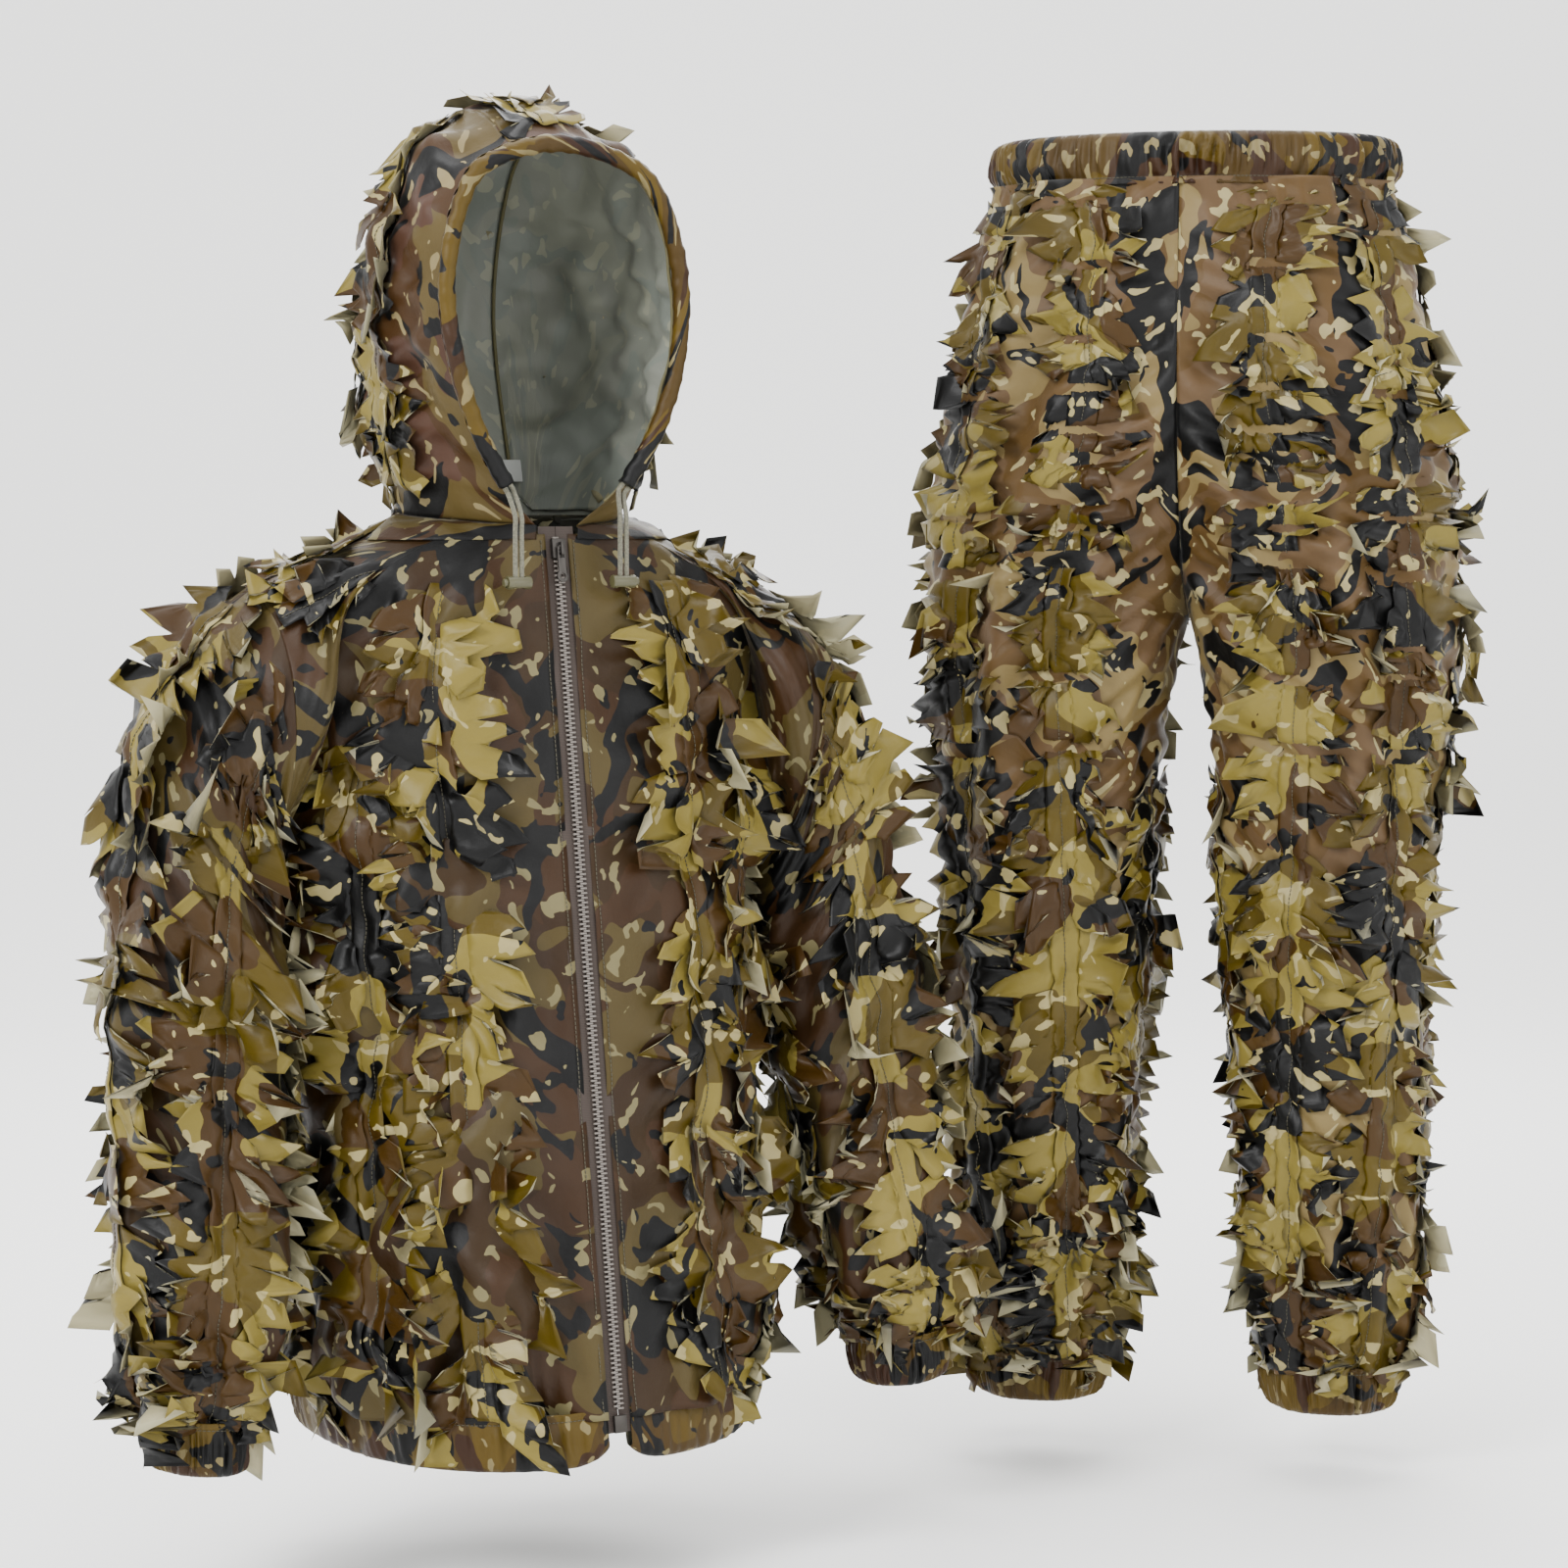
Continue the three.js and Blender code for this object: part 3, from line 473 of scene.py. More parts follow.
def weave_group():
    """The height of a plain weave: two sets of threads, each hiding the other in turn."""
    tree, given, result = group_sockets("plain_weave", [("Vector", "Vector"), ("Threads", "Float")],
                                        [("Height", "Float")])
    heights = []
    for direction in ("X", "Y"):
        wave = node(tree, "TexWave", {"bands_direction": direction},
                    {"Vector": given["Vector"], "Scale": given["Threads"]})
        heights.append(wave.outputs["Fac"])
    total = tree.nodes.new("ShaderNodeMath")
    total.operation = "MAXIMUM"
    tree.links.new(heights[0], total.inputs[0])
    tree.links.new(heights[1], total.inputs[1])
    tree.links.new(total.outputs[0], result["Height"])
    return tree


WOODLAND = woodland_group()
WEAVE = weave_group()


def cloth_material(name, ground, patch, shade, dark, spot, darkness, faded=0.0, reverse=None, rough=0.5):
    """Printed cloth; faded and reverse turn it towards the plain colour of its unprinted side."""
    material, tree, shader = new_material(name)
    at = node(tree, "UVMap", {"uv_map": "print"}, {}).outputs["UV"]
    printed = node(tree, "Group", {"node_tree": WOODLAND},
                   {"Vector": at, "Ground": srgb(ground), "Patch": srgb(patch), "Shade": srgb(shade),
                    "Dark": srgb(dark), "Spot": srgb(spot), "Darkness": darkness})
    colour = printed.outputs["Color"]
    if reverse:
        pale = tree.nodes.new("ShaderNodeMix")
        pale.data_type = "RGBA"
        pale.inputs["Factor"].default_value = faded
        pale.inputs[7].default_value = srgb(reverse)
        tree.links.new(colour, pale.inputs[6])
        colour = pale.outputs[2]
    cloudy = node(tree, "TexNoise", {"noise_dimensions": "2D"}, {"Vector": at, "Scale": 9, "Detail": 3})
    uneven = tree.nodes.new("ShaderNodeMix")
    uneven.data_type = "RGBA"
    uneven.blend_type = "MULTIPLY"
    uneven.inputs["Factor"].default_value = 0.3
    tree.links.new(colour, uneven.inputs[6])
    tree.links.new(cloudy.outputs["Fac"], uneven.inputs[7])
    brighter = node(tree, "BrightContrast", {}, {"Color": uneven.outputs[2], "Bright": 0.0, "Contrast": 0.03})
    tree.links.new(brighter.outputs["Color"], shader.inputs["Base Color"])
    weave = node(tree, "Group", {"node_tree": WEAVE}, {"Vector": at, "Threads": 350.0})
    crinkle = node(tree, "TexNoise", {"noise_dimensions": "2D"}, {"Vector": at, "Scale": 110, "Detail": 4})
    fine = node(tree, "Bump", {}, {"Height": weave.outputs["Height"], "Strength": 0.12, "Distance": 0.0002})
    creased = node(tree, "Bump", {}, {"Height": crinkle.outputs["Fac"], "Strength": 0.3, "Distance": 0.0015,
                                      "Normal": fine.outputs["Normal"]})
    tree.links.new(creased.outputs["Normal"], shader.inputs["Normal"])
    shader.inputs["Roughness"].default_value = rough
    shader.inputs["Specular IOR Level"].default_value = 0.2
    shader.inputs["Sheen Weight"].default_value = 0.04
    shader.inputs["Sheen Roughness"].default_value = 0.4
    return material


WOODLAND_BROWN = ("49402b", "362c1f", "3b2e25", "121313", "6e674b")
JACKET_CLOTH = cloth_material("jacket_cloth", *WOODLAND_BROWN, 0.03)
TROUSER_CLOTH = cloth_material("trouser_cloth", "736444", "53422d", "594836", "1c1d1c", "958a64", 0.02)
CLOTH_REVERSE = cloth_material("cloth_reverse", *WOODLAND_BROWN, 0.02, faded=0.6, reverse="5c5e55")
LEAF_CLOTH = cloth_material("leaf_cloth", "4d421c", "746838", "403210", "101314", "93885f", 0.02, rough=0.42)
LEAF_REVERSE = cloth_material("leaf_reverse", "5a4d22", "817446", "5d491f", "282a28", "a29d7e", 0.0,
                              faded=0.8, reverse="9c977b", rough=0.5)
FABRIC = 0.0003


def as_cloth(piece, front, reverse, thick=FABRIC):
    """Gives a surface its cloth: the printed side out, and its thickness and reverse side behind."""
    piece.data.materials.append(front)
    piece.data.materials.append(reverse)
    wall = piece.modifiers.new("thickness", "SOLIDIFY")
    wall.thickness = thick
    wall.offset = -1
    wall.material_offset = 1
    wall.use_quality_normals = True


def grid_sizes(points):
    """A grid's longest row, longest column and area: the size of the flat cut, and of its cloth."""
    across = np.linalg.norm(np.diff(points, axis=1), axis=2)
    down = np.linalg.norm(np.diff(points, axis=0), axis=2)
    a, b = points[1:, 1:] - points[:-1, :-1], points[1:, :-1] - points[:-1, 1:]
    area = np.linalg.norm(np.cross(a, b), axis=2).sum() / 2
    return float(across.sum(1).max()), float(down.sum(0).max()), float(area)


def grid_print(points, shift):
    """Each grid point's place on the flat cloth: its way across its row and down its column, in metres."""
    across = np.cumsum(np.pad(np.linalg.norm(np.diff(points, axis=1), axis=2), ((0, 0), (1, 0))), axis=1)
    down = np.cumsum(np.pad(np.linalg.norm(np.diff(points, axis=0), axis=2), ((1, 0), (0, 0))), axis=0)
    return np.stack([across - across[:, -1:] / 2, -down], -1) + shift


def panel(name, surface, rows, columns, shift, inside):
    """A panel of cloth from surface(u, v) on a grid, with its printed side away from the point inside."""
    v, u = np.meshgrid(np.linspace(0, 1, rows), np.linspace(0, 1, columns), indexing="ij")
    points = surface(u, v)
    quads = grid_quads(rows, columns)
    mid = points[rows // 2, columns // 2]
    a = points[rows // 2, columns // 2 + 1] - mid
    b = points[rows // 2 + 1, columns // 2] - mid
    if np.dot(np.cross(b, a), mid - inside) < 0:
        quads = quads[:, ::-1]
    piece = mesh_piece(name, points.reshape(-1, 3), quads, grid_print(points, shift).reshape(-1, 2))
    width, length, area = grid_sizes(points)
    return piece


# ---- The jacket's body ----
# Two fronts and a back of thin cloth, joined at the sides and closed by the zip, drape from the raglan
# seams and are gathered into the elastic hem.
NECK_FRONT, NECK_BACK = -0.026, -0.012
ARMPIT = -0.246
HEM_SEAM, HEM_FOLD = -0.682, -0.724
BODY_SQUARE = 2.35
ZIP_TOP = np.array([0, -0.085, -0.028])
ZIP_AHEAD, ZIP_DROP = 0.104, 0.672
BODY_WIDTHS = np.array([[-15, 88], [-35, 138], [-60, 180], [-95, 200], [-150, 204], [-250, 196], [-400, 190],
                        [-560, 190], [-660, 186], [-695, 176], [-724, 170]]) / 1000
BODY_BACKS = np.array([[-12, 66], [-60, 92], [-120, 116], [-250, 126], [-500, 126], [-724, 128]]) / 1000


def body_shape(angle, z):
    """A squarish oval at each height: its width and back depth follow rows, its front slopes with the zip."""
    width = through(BODY_WIDTHS[:, 0], BODY_WIDTHS[:, 1:], z)[..., 0]
    behind = through(BODY_BACKS[:, 0], BODY_BACKS[:, 1:], z)[..., 0]
    ahead = -ZIP_TOP[1] + ZIP_AHEAD * (ZIP_TOP[2] - z) / ZIP_DROP
    s, c = np.sin(angle), np.cos(angle)
    power = 2 / BODY_SQUARE
    x = width * np.sign(s) * np.abs(s) ** power
    y = -np.where(c > 0, ahead, behind) * np.sign(c) * np.abs(c) ** power
    return np.stack(np.broadcast_arrays(x, y, z), -1)


def creases(across, along, size, seed, waves=9):
    """Soft creases about size apart: the sum of waves of seeded random length, direction and phase."""
    random = np.random.default_rng(seed)
    turn = random.uniform(0, TAU, waves)
    rate = TAU / size * random.uniform(0.55, 1.5, waves)
    phase = random.uniform(0, TAU, waves)
    across, along = np.broadcast_arrays(np.asarray(across, float), np.asarray(along, float))
    way = across[..., None] * np.cos(turn) + along[..., None] * np.sin(turn)
    return np.sin(way * rate + phase).sum(-1) / math.sqrt(waves / 2)


def gathers(turn, count, seed):
    """Pleats round an elastic: about count waves in a whole turn, of uneven width and height, 0 to 1."""
    random = np.random.default_rng(seed)
    a, b, c = random.uniform(0, TAU, 3)
    drift = 1.6 * np.sin(TAU * turn * 5 + a) + 0.9 * np.sin(TAU * turn * 11 + b)
    tall = 0.65 + 0.35 * np.sin(TAU * turn * 7 + c)
    return (0.5 + 0.5 * np.sin(TAU * turn * count + drift * 2)) * tall


def body_cloth(angle, z):
    """The body's cloth: its shape, with drapes that deepen downwards, creases, and gathers above the hem."""
    flat = body_shape(angle, z)
    round_it = angle * 0.17
    down = np.clip((-0.06 - z) / 0.62, 0, 1)
    drapes = 0.006 * down * creases(round_it, z * 0.22, 0.085, 21)
    small = 0.0022 * creases(round_it, z * 0.8, 0.035, 22) + 0.0035 * creases(round_it, z, 0.11, 23)
    over_hem = np.clip(z - HEM_SEAM + 0.004, 0, None)
    near_hem = np.exp(-over_hem / 0.045)
    sewn_down = 1 - np.exp(-over_hem / 0.01)
    pleats = 0.0085 * near_hem * sewn_down * (gathers(angle / TAU, 54, 24) - 0.4)
    from_zip = np.clip((np.abs(flat[..., 0]) - 0.014) / 0.05, 0, 1) * (flat[..., 1] < 0) + (flat[..., 1] >= 0)
    at_neck = np.clip((-0.02 - z) / 0.06, 0, 1)
    rise = (drapes + small) * at_neck * (0.15 + 0.85 * from_zip) + pleats * (0.2 + 0.8 * from_zip)
    over_tape = 0.0013 * np.clip((0.03 - np.abs(flat[..., 0])) / 0.012, 0, 1) * (flat[..., 1] < 0)
    return flat + unit(flat * [1, 1, 0], TINY) * (rise + over_tape)[..., None]


def beside_zip(z, away=0.0095):
    """The angle of the body's front at a distance away from the centre line."""
    width = body_shape(math.pi / 2, z)[..., 0]
    return np.arcsin((away / width) ** (BODY_SQUARE / 2))


def raglan(z):
    """The raglan seam's angle from the centre line: 40 degrees at the neck, almost the side at the armpit."""
    down = np.clip((NECK_FRONT - z) / (NECK_FRONT - ARMPIT), 0, 1)
    return np.radians(40 + 48.5 * down ** 0.9)


TRUNK = in_jacket([0, 0, -0.38])
RAGLAN_OVERLAP, HEM_OVERLAP = 0.03, 0.007


def between(a, b, t):
    """From a at 0 to b at 1."""
    return a + (b - a) * t


def front_panel(side):
    """One front, from beside the zip to the raglan seam and the side, and from the neck to the hem."""
    def surface(u, v):
        z = between(NECK_FRONT, HEM_SEAM - HEM_OVERLAP, v ** 1.2)
        return in_jacket(body_cloth(side * between(beside_zip(z), raglan(z) + RAGLAN_OVERLAP, u), z))
    return surface


def back_panel(u, v):
    """The back, from one raglan seam to the other, and from the neck to the hem."""
    z = between(NECK_BACK, HEM_SEAM - HEM_OVERLAP, v ** 1.2)
    return in_jacket(body_cloth(math.pi + (2 * u - 1) * (raglan(z) + RAGLAN_OVERLAP), z))


for side_name, side in SIDES:
    piece = panel(f"front_cloth_{side_name}", front_panel(side), 150, 70, [0.4 * side, 0.1], TRUNK)
    as_cloth(piece, JACKET_CLOTH, CLOTH_REVERSE)
    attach(piece, "jacket")
    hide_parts(f"front_panel_{side_name}")
piece = panel("back_cloth", back_panel, 150, 130, [1.7, 0.3], TRUNK)
as_cloth(piece, JACKET_CLOTH, CLOTH_REVERSE)
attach(piece, "jacket")
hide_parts("back_panel")


# Topstitching runs down each front beside the zip.
for side_name, side in SIDES:
    z = np.linspace(-0.03, -0.683, 300)
    route = in_jacket(mirrored(body_cloth(beside_zip(z, 0.0135), z) - [0, 0.0004, 0], side))
    thread = stitches(f"zip_topstitch_{side_name}", route, np.tile(in_jacket([0, -1, 0]), (300, 1)))
    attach(thread, "jacket")

# ---- Zip ----
# Woven brown tapes with moulded grey-brown teeth, closed by a gunmetal slider with a pierced pull tab; the
# teeth end at the bottom in a metal box. The tapes are sewn under the fronts' edges.
ZIP_LEAN = math.atan2(ZIP_AHEAD, ZIP_DROP)
ZIP_LENGTH = math.hypot(ZIP_AHEAD, ZIP_DROP)


def on_zip(points):
    """Points of the zip's own frame, -Z down it and -Y out of the chest, leaned into the suit's frame."""
    c, s = math.cos(ZIP_LEAN), math.sin(ZIP_LEAN)
    leaned = np.asarray(points, float) @ np.array([[1, 0, 0], [0, c, -s], [0, s, c]])
    return in_jacket(leaned + ZIP_TOP)


tape_material, tree, shader = new_material("zip_tape_weave")
coordinates = node(tree, "TexCoord", {}, {})
ribs = node(tree, "TexWave", {"bands_direction": "Z"},
            {"Vector": coordinates.outputs["Object"], "Scale": 260})
colour = node(tree, "ValToRGB", {}, {"Fac": ribs.outputs["Fac"]})
colour.color_ramp.elements[0].color = (0.019, 0.0125, 0.009, 1)
colour.color_ramp.elements[1].color = (0.036, 0.023, 0.017, 1)
tree.links.new(colour.outputs["Color"], shader.inputs["Base Color"])
shader.inputs["Roughness"].default_value = 0.8
teeth_material, tree, shader = new_material("zip_teeth_plastic")
shader.inputs["Base Color"].default_value = (0.125, 0.108, 0.094, 1)
shader.inputs["Roughness"].default_value = 0.38
metal_material, tree, shader = new_material("gunmetal")
shader.inputs["Base Color"].default_value = (0.045, 0.041, 0.037, 1)
shader.inputs["Metallic"].default_value = 0.85
shader.inputs["Roughness"].default_value = 0.42

for side_name, side in SIDES:
    tape = rounded_copy(f"zip_tape_woven_{side_name}", f"zip_tape_{side_name}", 0.0002)
    tape.data.materials.append(tape_material)
    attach(tape, "jacket")
    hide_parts(f"zip_tape_{side_name}")
    # each tooth is a bar whose head reaches past the middle, between the two teeth of the other side
    pitch = 0.0036
    count = int((ZIP_LENGTH - 0.016) / pitch)
    middles = -0.0012 - pitch * np.arange(count) - (pitch / 2 if side > 0 else 0)
    corners = np.array([[x, y, z] for z in (-0.00075, 0.00075) for y in (-0.0026, -0.0004)
                        for x in (-0.0011, 0.004)])
    points = mirrored(corners[None] + middles[:, None, None] * [0, 0, 1], side)
    teeth = mesh_piece(f"zip_teeth_moulded_{side_name}", on_zip(points.reshape(-1, 3)),
                       bar_quads(len(middles), side))
    bevel = teeth.modifiers.new("round_edges", "BEVEL")
    bevel.width = 0.0002
    bevel.segments = 1
    teeth.data.materials.append(teeth_material)
    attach(teeth, "jacket")
    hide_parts(f"zip_teeth_{side_name}")
for part, body in (("zip_foot_box", "jacket"), ("zip_slider", "slider"), ("zip_pull", "pull")):
    piece = rounded_copy(f"{part}_cast", part, 0.0003)
    piece.data.materials.append(metal_material)
    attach(piece, body)
    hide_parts(part)

# The hem's elastic is a ribbed dark band inside its casing; the size label is blank white woven tape.
elastic_material, tree, shader = new_material("ribbed_elastic")
shader.inputs["Base Color"].default_value = (0.03, 0.028, 0.025, 1)
shader.inputs["Roughness"].default_value = 0.85
for part, body in (("hem_elastic", "jacket"), ("waist_elastic", "waist")):
    piece = rounded_copy(f"{part}_band", part, 0.0001)
    piece.data.materials.append(elastic_material)
    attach(piece, body)
    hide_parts(part)
label_material, tree, shader = new_material("label_satin")
shader.inputs["Base Color"].default_value = (0.42, 0.43, 0.41, 1)
shader.inputs["Roughness"].default_value = 0.5
label = rounded_copy("size_label_woven", "size_label", 0.0003)
label.data.materials.append(label_material)
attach(label, "hood")
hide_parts("size_label")


# Each elastic casing is cloth folded over the elastic: out and down, round the fold, and up inside.
def casing(name, ring, deep, puff, count, seed, inside, columns=420, open_ring=False):
    """ring(turn, share) is the casing's outside; it bulges by puff, and has count pleats in a whole turn."""
    share = np.array([0, 0.03, 0.08, 0.14, 0.2, 0.3, 0.42, 0.55, 0.68, 0.8, 0.9, 0.97, 1, 0.97, 0.8, 0.45,
                      0.05])
    depth = np.array([0, 0, 0, 0, 0, 0, 0, 0, 0, 0, 0.05, 0.25, 0.55, 0.85, 1, 1, 1]) * deep
    bulge = np.array([0.4, 0.55, 0.3, 0.15, 0.4, 0.8, 1, 1, 0.95, 0.8, 0.6, 0.4, 0.2, 0, 0, 0, 0]) * puff
    turn = np.linspace(0, 1, columns)
    s, t = np.meshgrid(np.arange(len(share)), turn, indexing="ij")
    flat = ring(t, share[s])
    inwards = unit((np.asarray(inside) - flat) * [1, 1, 0])
    lean = 0.35 / count * np.sin(TAU * (3 * t + 0.7 * share[s]))
    pleat = gathers(t + lean * share[s], count, seed) + 0.35 * gathers(t, round(count * 2.3), seed + 1)
    points = flat + inwards * (depth[s] - bulge[s] * (0.1 + 1.5 * pleat))[..., None]
    # the gathered cloth is longer than its ring, so the print is drawn closer together
    gathered = 1.6
    somewhere, middle_row = 40, 7
    around = gathered * run_along(flat[0]) + seed * 0.37
    drop = run_along(points[:, somewhere])
    at = np.stack(np.broadcast_arrays(around[None, :], -drop[:, None]), -1)
    quads = grid_quads(len(share), columns)
    mid = points[middle_row, somewhere]
    down, along = points[middle_row + 1, somewhere] - mid, points[middle_row, somewhere + 1] - mid
    if np.dot(np.cross(down, along), mid - inside) < 0:
        quads = quads[:, ::-1]
    print_quads = quads
    if not open_ring:
        points = points[:, :-1]
        rows, places = np.divmod(quads, columns)
        quads = rows * (columns - 1) + places % (columns - 1)
    piece = mesh_piece(name, points.reshape(-1, 3), quads, at.reshape(-1, 2), print_quads)
    width, length, area = grid_sizes(points)
    as_cloth(piece, CASING_CLOTH, CLOTH_REVERSE)
    return piece, stitches(f"{name}_stitches", points[3], -inwards[3, :points.shape[1]])


CASING_CLOTH = cloth_material("casing_cloth", "504223", "443721", "382b20", "15181a", "74694a", 0.02)


def hem_ring(turn, share):
    """Round the hem from one side of the zip to the other, and down from its seam to its fold."""
    near_zip = np.exp(-np.minimum(turn, 1 - turn) / 0.008)
    z = HEM_SEAM + (HEM_FOLD - HEM_SEAM + 0.012 * near_zip) * share
    return in_jacket(body_shape(between(beside_zip(z), TAU - beside_zip(z), turn), z))


piece, thread = casing("hem_casing_cloth", hem_ring, 0.0085, 0.003, 62, 24, TRUNK, columns=620,
                       open_ring=True)
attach(piece, "jacket")
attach(thread, "jacket")
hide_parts("hem_casing")


# ---- Sleeves ----
# Each raglan sleeve is a cap sewn to the body from neck to armpit, and a hanging tube that ends in an
# elastic cuff. The cap ends in a circle, in which the tube turns when the arm swings forward.
SLEEVE_RINGS = np.array([
    [165, -46, 205, -250, 0, 90], [218, -70, 218, -268, 0, 99], [270, -118, 208, -290, -2, 83],
    [305, -190, 206, -325, -6, 76], [325, -300, 206, -365, -18, 69], [333, -420, 214, -452, -40, 66],
    [341, -540, 228, -556, -64, 62], [345, -630, 246, -640, -83, 56], [337, -668, 262, -676, -92, 43],
    [334, -706, 266, -712, -99, 36],
]) / 1000
CAP_RINGS, CUFF_RING = 2, 9


def raglan_point(turn):
    """Round the raglan seam: over the neck edge, down the front to the armpit, and up the back."""
    half = 1 - np.abs(2 * turn - 1)
    top = np.where(turn <= 0.5, NECK_FRONT, NECK_BACK)
    at_neck = 0.12
    z = between(top, ARMPIT, np.clip((half - at_neck) / (1 - at_neck), 0, 1))
    angle = np.where(half < at_neck, between(math.pi / 2, math.radians(40), half / at_neck), raglan(z))
    angle = np.minimum(angle + 0.01, math.pi / 2)
    return body_shape(np.where(turn <= 0.5, angle, math.pi - angle), z)


def sleeve_shape(turn, ring):
    """Ovals through the rings, each from its outer side round its front, joined by a curve down the arm."""
    turn, ring = np.broadcast_arrays(np.asarray(turn, float) % 1, np.asarray(ring, float))
    flat_turn = turn.ravel()
    c, s = np.cos(TAU * flat_turn), np.sin(TAU * flat_turn)
    rows = [raglan_point(flat_turn)]
    for outer_x, outer_z, inner_x, inner_z, y, deep in SLEEVE_RINGS:
        rows.append(np.stack([inner_x + (outer_x - inner_x) * (1 + c) / 2, y - deep * s,
                              inner_z + (outer_z - inner_z) * (1 + c) / 2], -1))
    return through(np.arange(len(rows)), np.stack(rows), ring.ravel()).reshape(turn.shape + (3,))


def sleeve_cloth(turn, ring):
    """The sleeve's cloth: its shape with slanting drapes, elbow creases, and gathers above the cuff."""
    flat = sleeve_shape(turn, ring)
    middle = (sleeve_shape(0.0 * turn, ring) + sleeve_shape(0.0 * turn + 0.5, ring)) / 2
    out = unit(flat - middle, TINY)
    down = ring * 0.075
    loose = np.clip(ring / 1.5, 0, 1) * np.clip(np.abs(ring - CAP_RINGS) / 0.6, 0, 1)
    round_it = 0.065 * np.sin(TAU * turn), 0.065 * np.cos(TAU * turn)
    slanting = creases(round_it[0] + down * 0.35, round_it[1] * 0.9 - down * 0.25, 0.06, 31)
    elbow = np.exp(-((ring - 5.4) / 1.3) ** 2)
    at_elbow = creases(round_it[0] * 0.4 + round_it[1] * 0.3, down, 0.045, 32)
    small = creases(round_it[0], round_it[1] + down, 0.028, 33)
    rise = (0.0042 * slanting + 0.004 * elbow * at_elbow + 0.0015 * small) * loose
    from_cuff = np.clip(CUFF_RING - ring, 0, None)
    near_cuff = np.exp(-from_cuff / 0.7) * (1 - np.exp(-from_cuff / 0.15))
    return flat + out * (rise + 0.006 * near_cuff * (gathers(turn, 30, 34) - 0.4))[..., None]


SHOULDER, ELBOW, WRIST = [0.205, 0, -0.15], [0.268, -0.04, -0.42], [0.3, -0.097, -0.69]


def in_arm(place, side):
    """A point inside the arm on the wearer's left or right."""
    return in_jacket(mirrored(np.array(place), side))


for side_name, side in SIDES:
    def cap(u, v):
        return in_jacket(mirrored(sleeve_cloth(u, CAP_RINGS * v), side))

    def tube(u, v):
        return in_jacket(mirrored(sleeve_cloth(u, between(CAP_RINGS, CUFF_RING + 0.08, v)), side))

    def cuff(turn, share):
        return in_jacket(mirrored(sleeve_shape(turn, between(CUFF_RING - 0.1, CUFF_RING + 1, share)), side))

    piece = panel(f"shoulder_cloth_{side_name}", cap, 50, 150, [2.2 + side, 0.4], in_arm(SHOULDER, side))
    as_cloth(piece, JACKET_CLOTH, CLOTH_REVERSE)
    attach(piece, "jacket")
    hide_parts(f"shoulder_cap_{side_name}")
    piece = panel(f"sleeve_cloth_{side_name}", tube, 200, 140, [3.1 + side, 0.9], in_arm(ELBOW, side))
    as_cloth(piece, JACKET_CLOTH, CLOTH_REVERSE)
    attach(piece, f"sleeve_{side_name}")
    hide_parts(f"sleeve_{side_name}")
    piece, thread = casing(f"cuff_casing_{side_name}", cuff, 0.006, 0.004, 34, 34, in_arm(WRIST, side),
                           columns=260)
    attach(piece, f"sleeve_{side_name}")
    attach(thread, f"sleeve_{side_name}")
    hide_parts(f"cuff_{side_name}")


# ---- Hood ----
# Two sides and a centre panel over the crown, with overlocked seams inside, and a rolled channel round
# the face that holds the drawcord. It is sewn to the body round the neck.
HEAD_MIDDLE = np.array([0, -0.01, 0.12])


def hood_cloth(u, v):
    """The hood side with soft creases, smooth at its seams and face edge."""
    flat = hood_side(u, v)
    away = np.clip(np.minimum(u, 1 - u) / 0.15, 0, 1) * np.clip(np.minimum(v, 1 - v) / 0.12, 0, 1)
    wide = creases(flat[..., 1], flat[..., 2], 0.085, 41)
    narrow = creases(flat[..., 1], flat[..., 2], 0.035, 42)
    return flat + unit(flat - HEAD_MIDDLE) * ((0.004 * wide + 0.0018 * narrow) * away)[..., None]


def hood_band(u, v):
    """The centre panel between the two sides' top edges, bulging 5 mm in its middle."""
    edge = hood_side(1.0 + 0 * u, v)
    across = 2 * u - 1
    crown = (0.005 + 0.002 * creases(across * 0.036, v * 0.5, 0.05, 43)) * (1 - across ** 2)
    y = edge[..., 1] + crown * np.sin(v * math.pi / 2)
    z = edge[..., 2] + crown * np.cos(v * math.pi / 2)
    return np.stack([across * (HOOD_HALF_BAND + 0.001), y, z], -1)


HOOD_CLOTH = cloth_material("hood_cloth", "51462e", "413226", "47362e", "171818", "7c7051", 0.03)
# The hood's inside shows the cloth's pale unprinted reverse, made much paler than the body's reverse: partly the
# reverse's own pale tone, partly painted light that makes up for the shade inside the hood.
HOOD_INSIDE_PAINTED_LIGHT = cloth_material("hood_inside_painted_light", *WOODLAND_BROWN, 0.02, faded=0.43, reverse="b2b9ae", rough=0.4)
HEAD = in_jacket(HEAD_MIDDLE)
for side_name, side in SIDES:
    piece = panel(f"hood_cloth_{side_name}", lambda u, v: in_jacket(mirrored(hood_cloth(u, v), side)),
                  130, 90, [6.4 + side, 0.2], HEAD)
    as_cloth(piece, HOOD_CLOTH, HOOD_INSIDE_PAINTED_LIGHT)
    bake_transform(piece)
    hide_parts(f"hood_side_{side_name}")
piece = panel("hood_centre_cloth", lambda u, v: in_jacket(hood_band(u, v)), 130, 24, [8.2, 0.5], HEAD)
as_cloth(piece, HOOD_CLOTH, HOOD_INSIDE_PAINTED_LIGHT)
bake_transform(piece)
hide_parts("hood_centre")


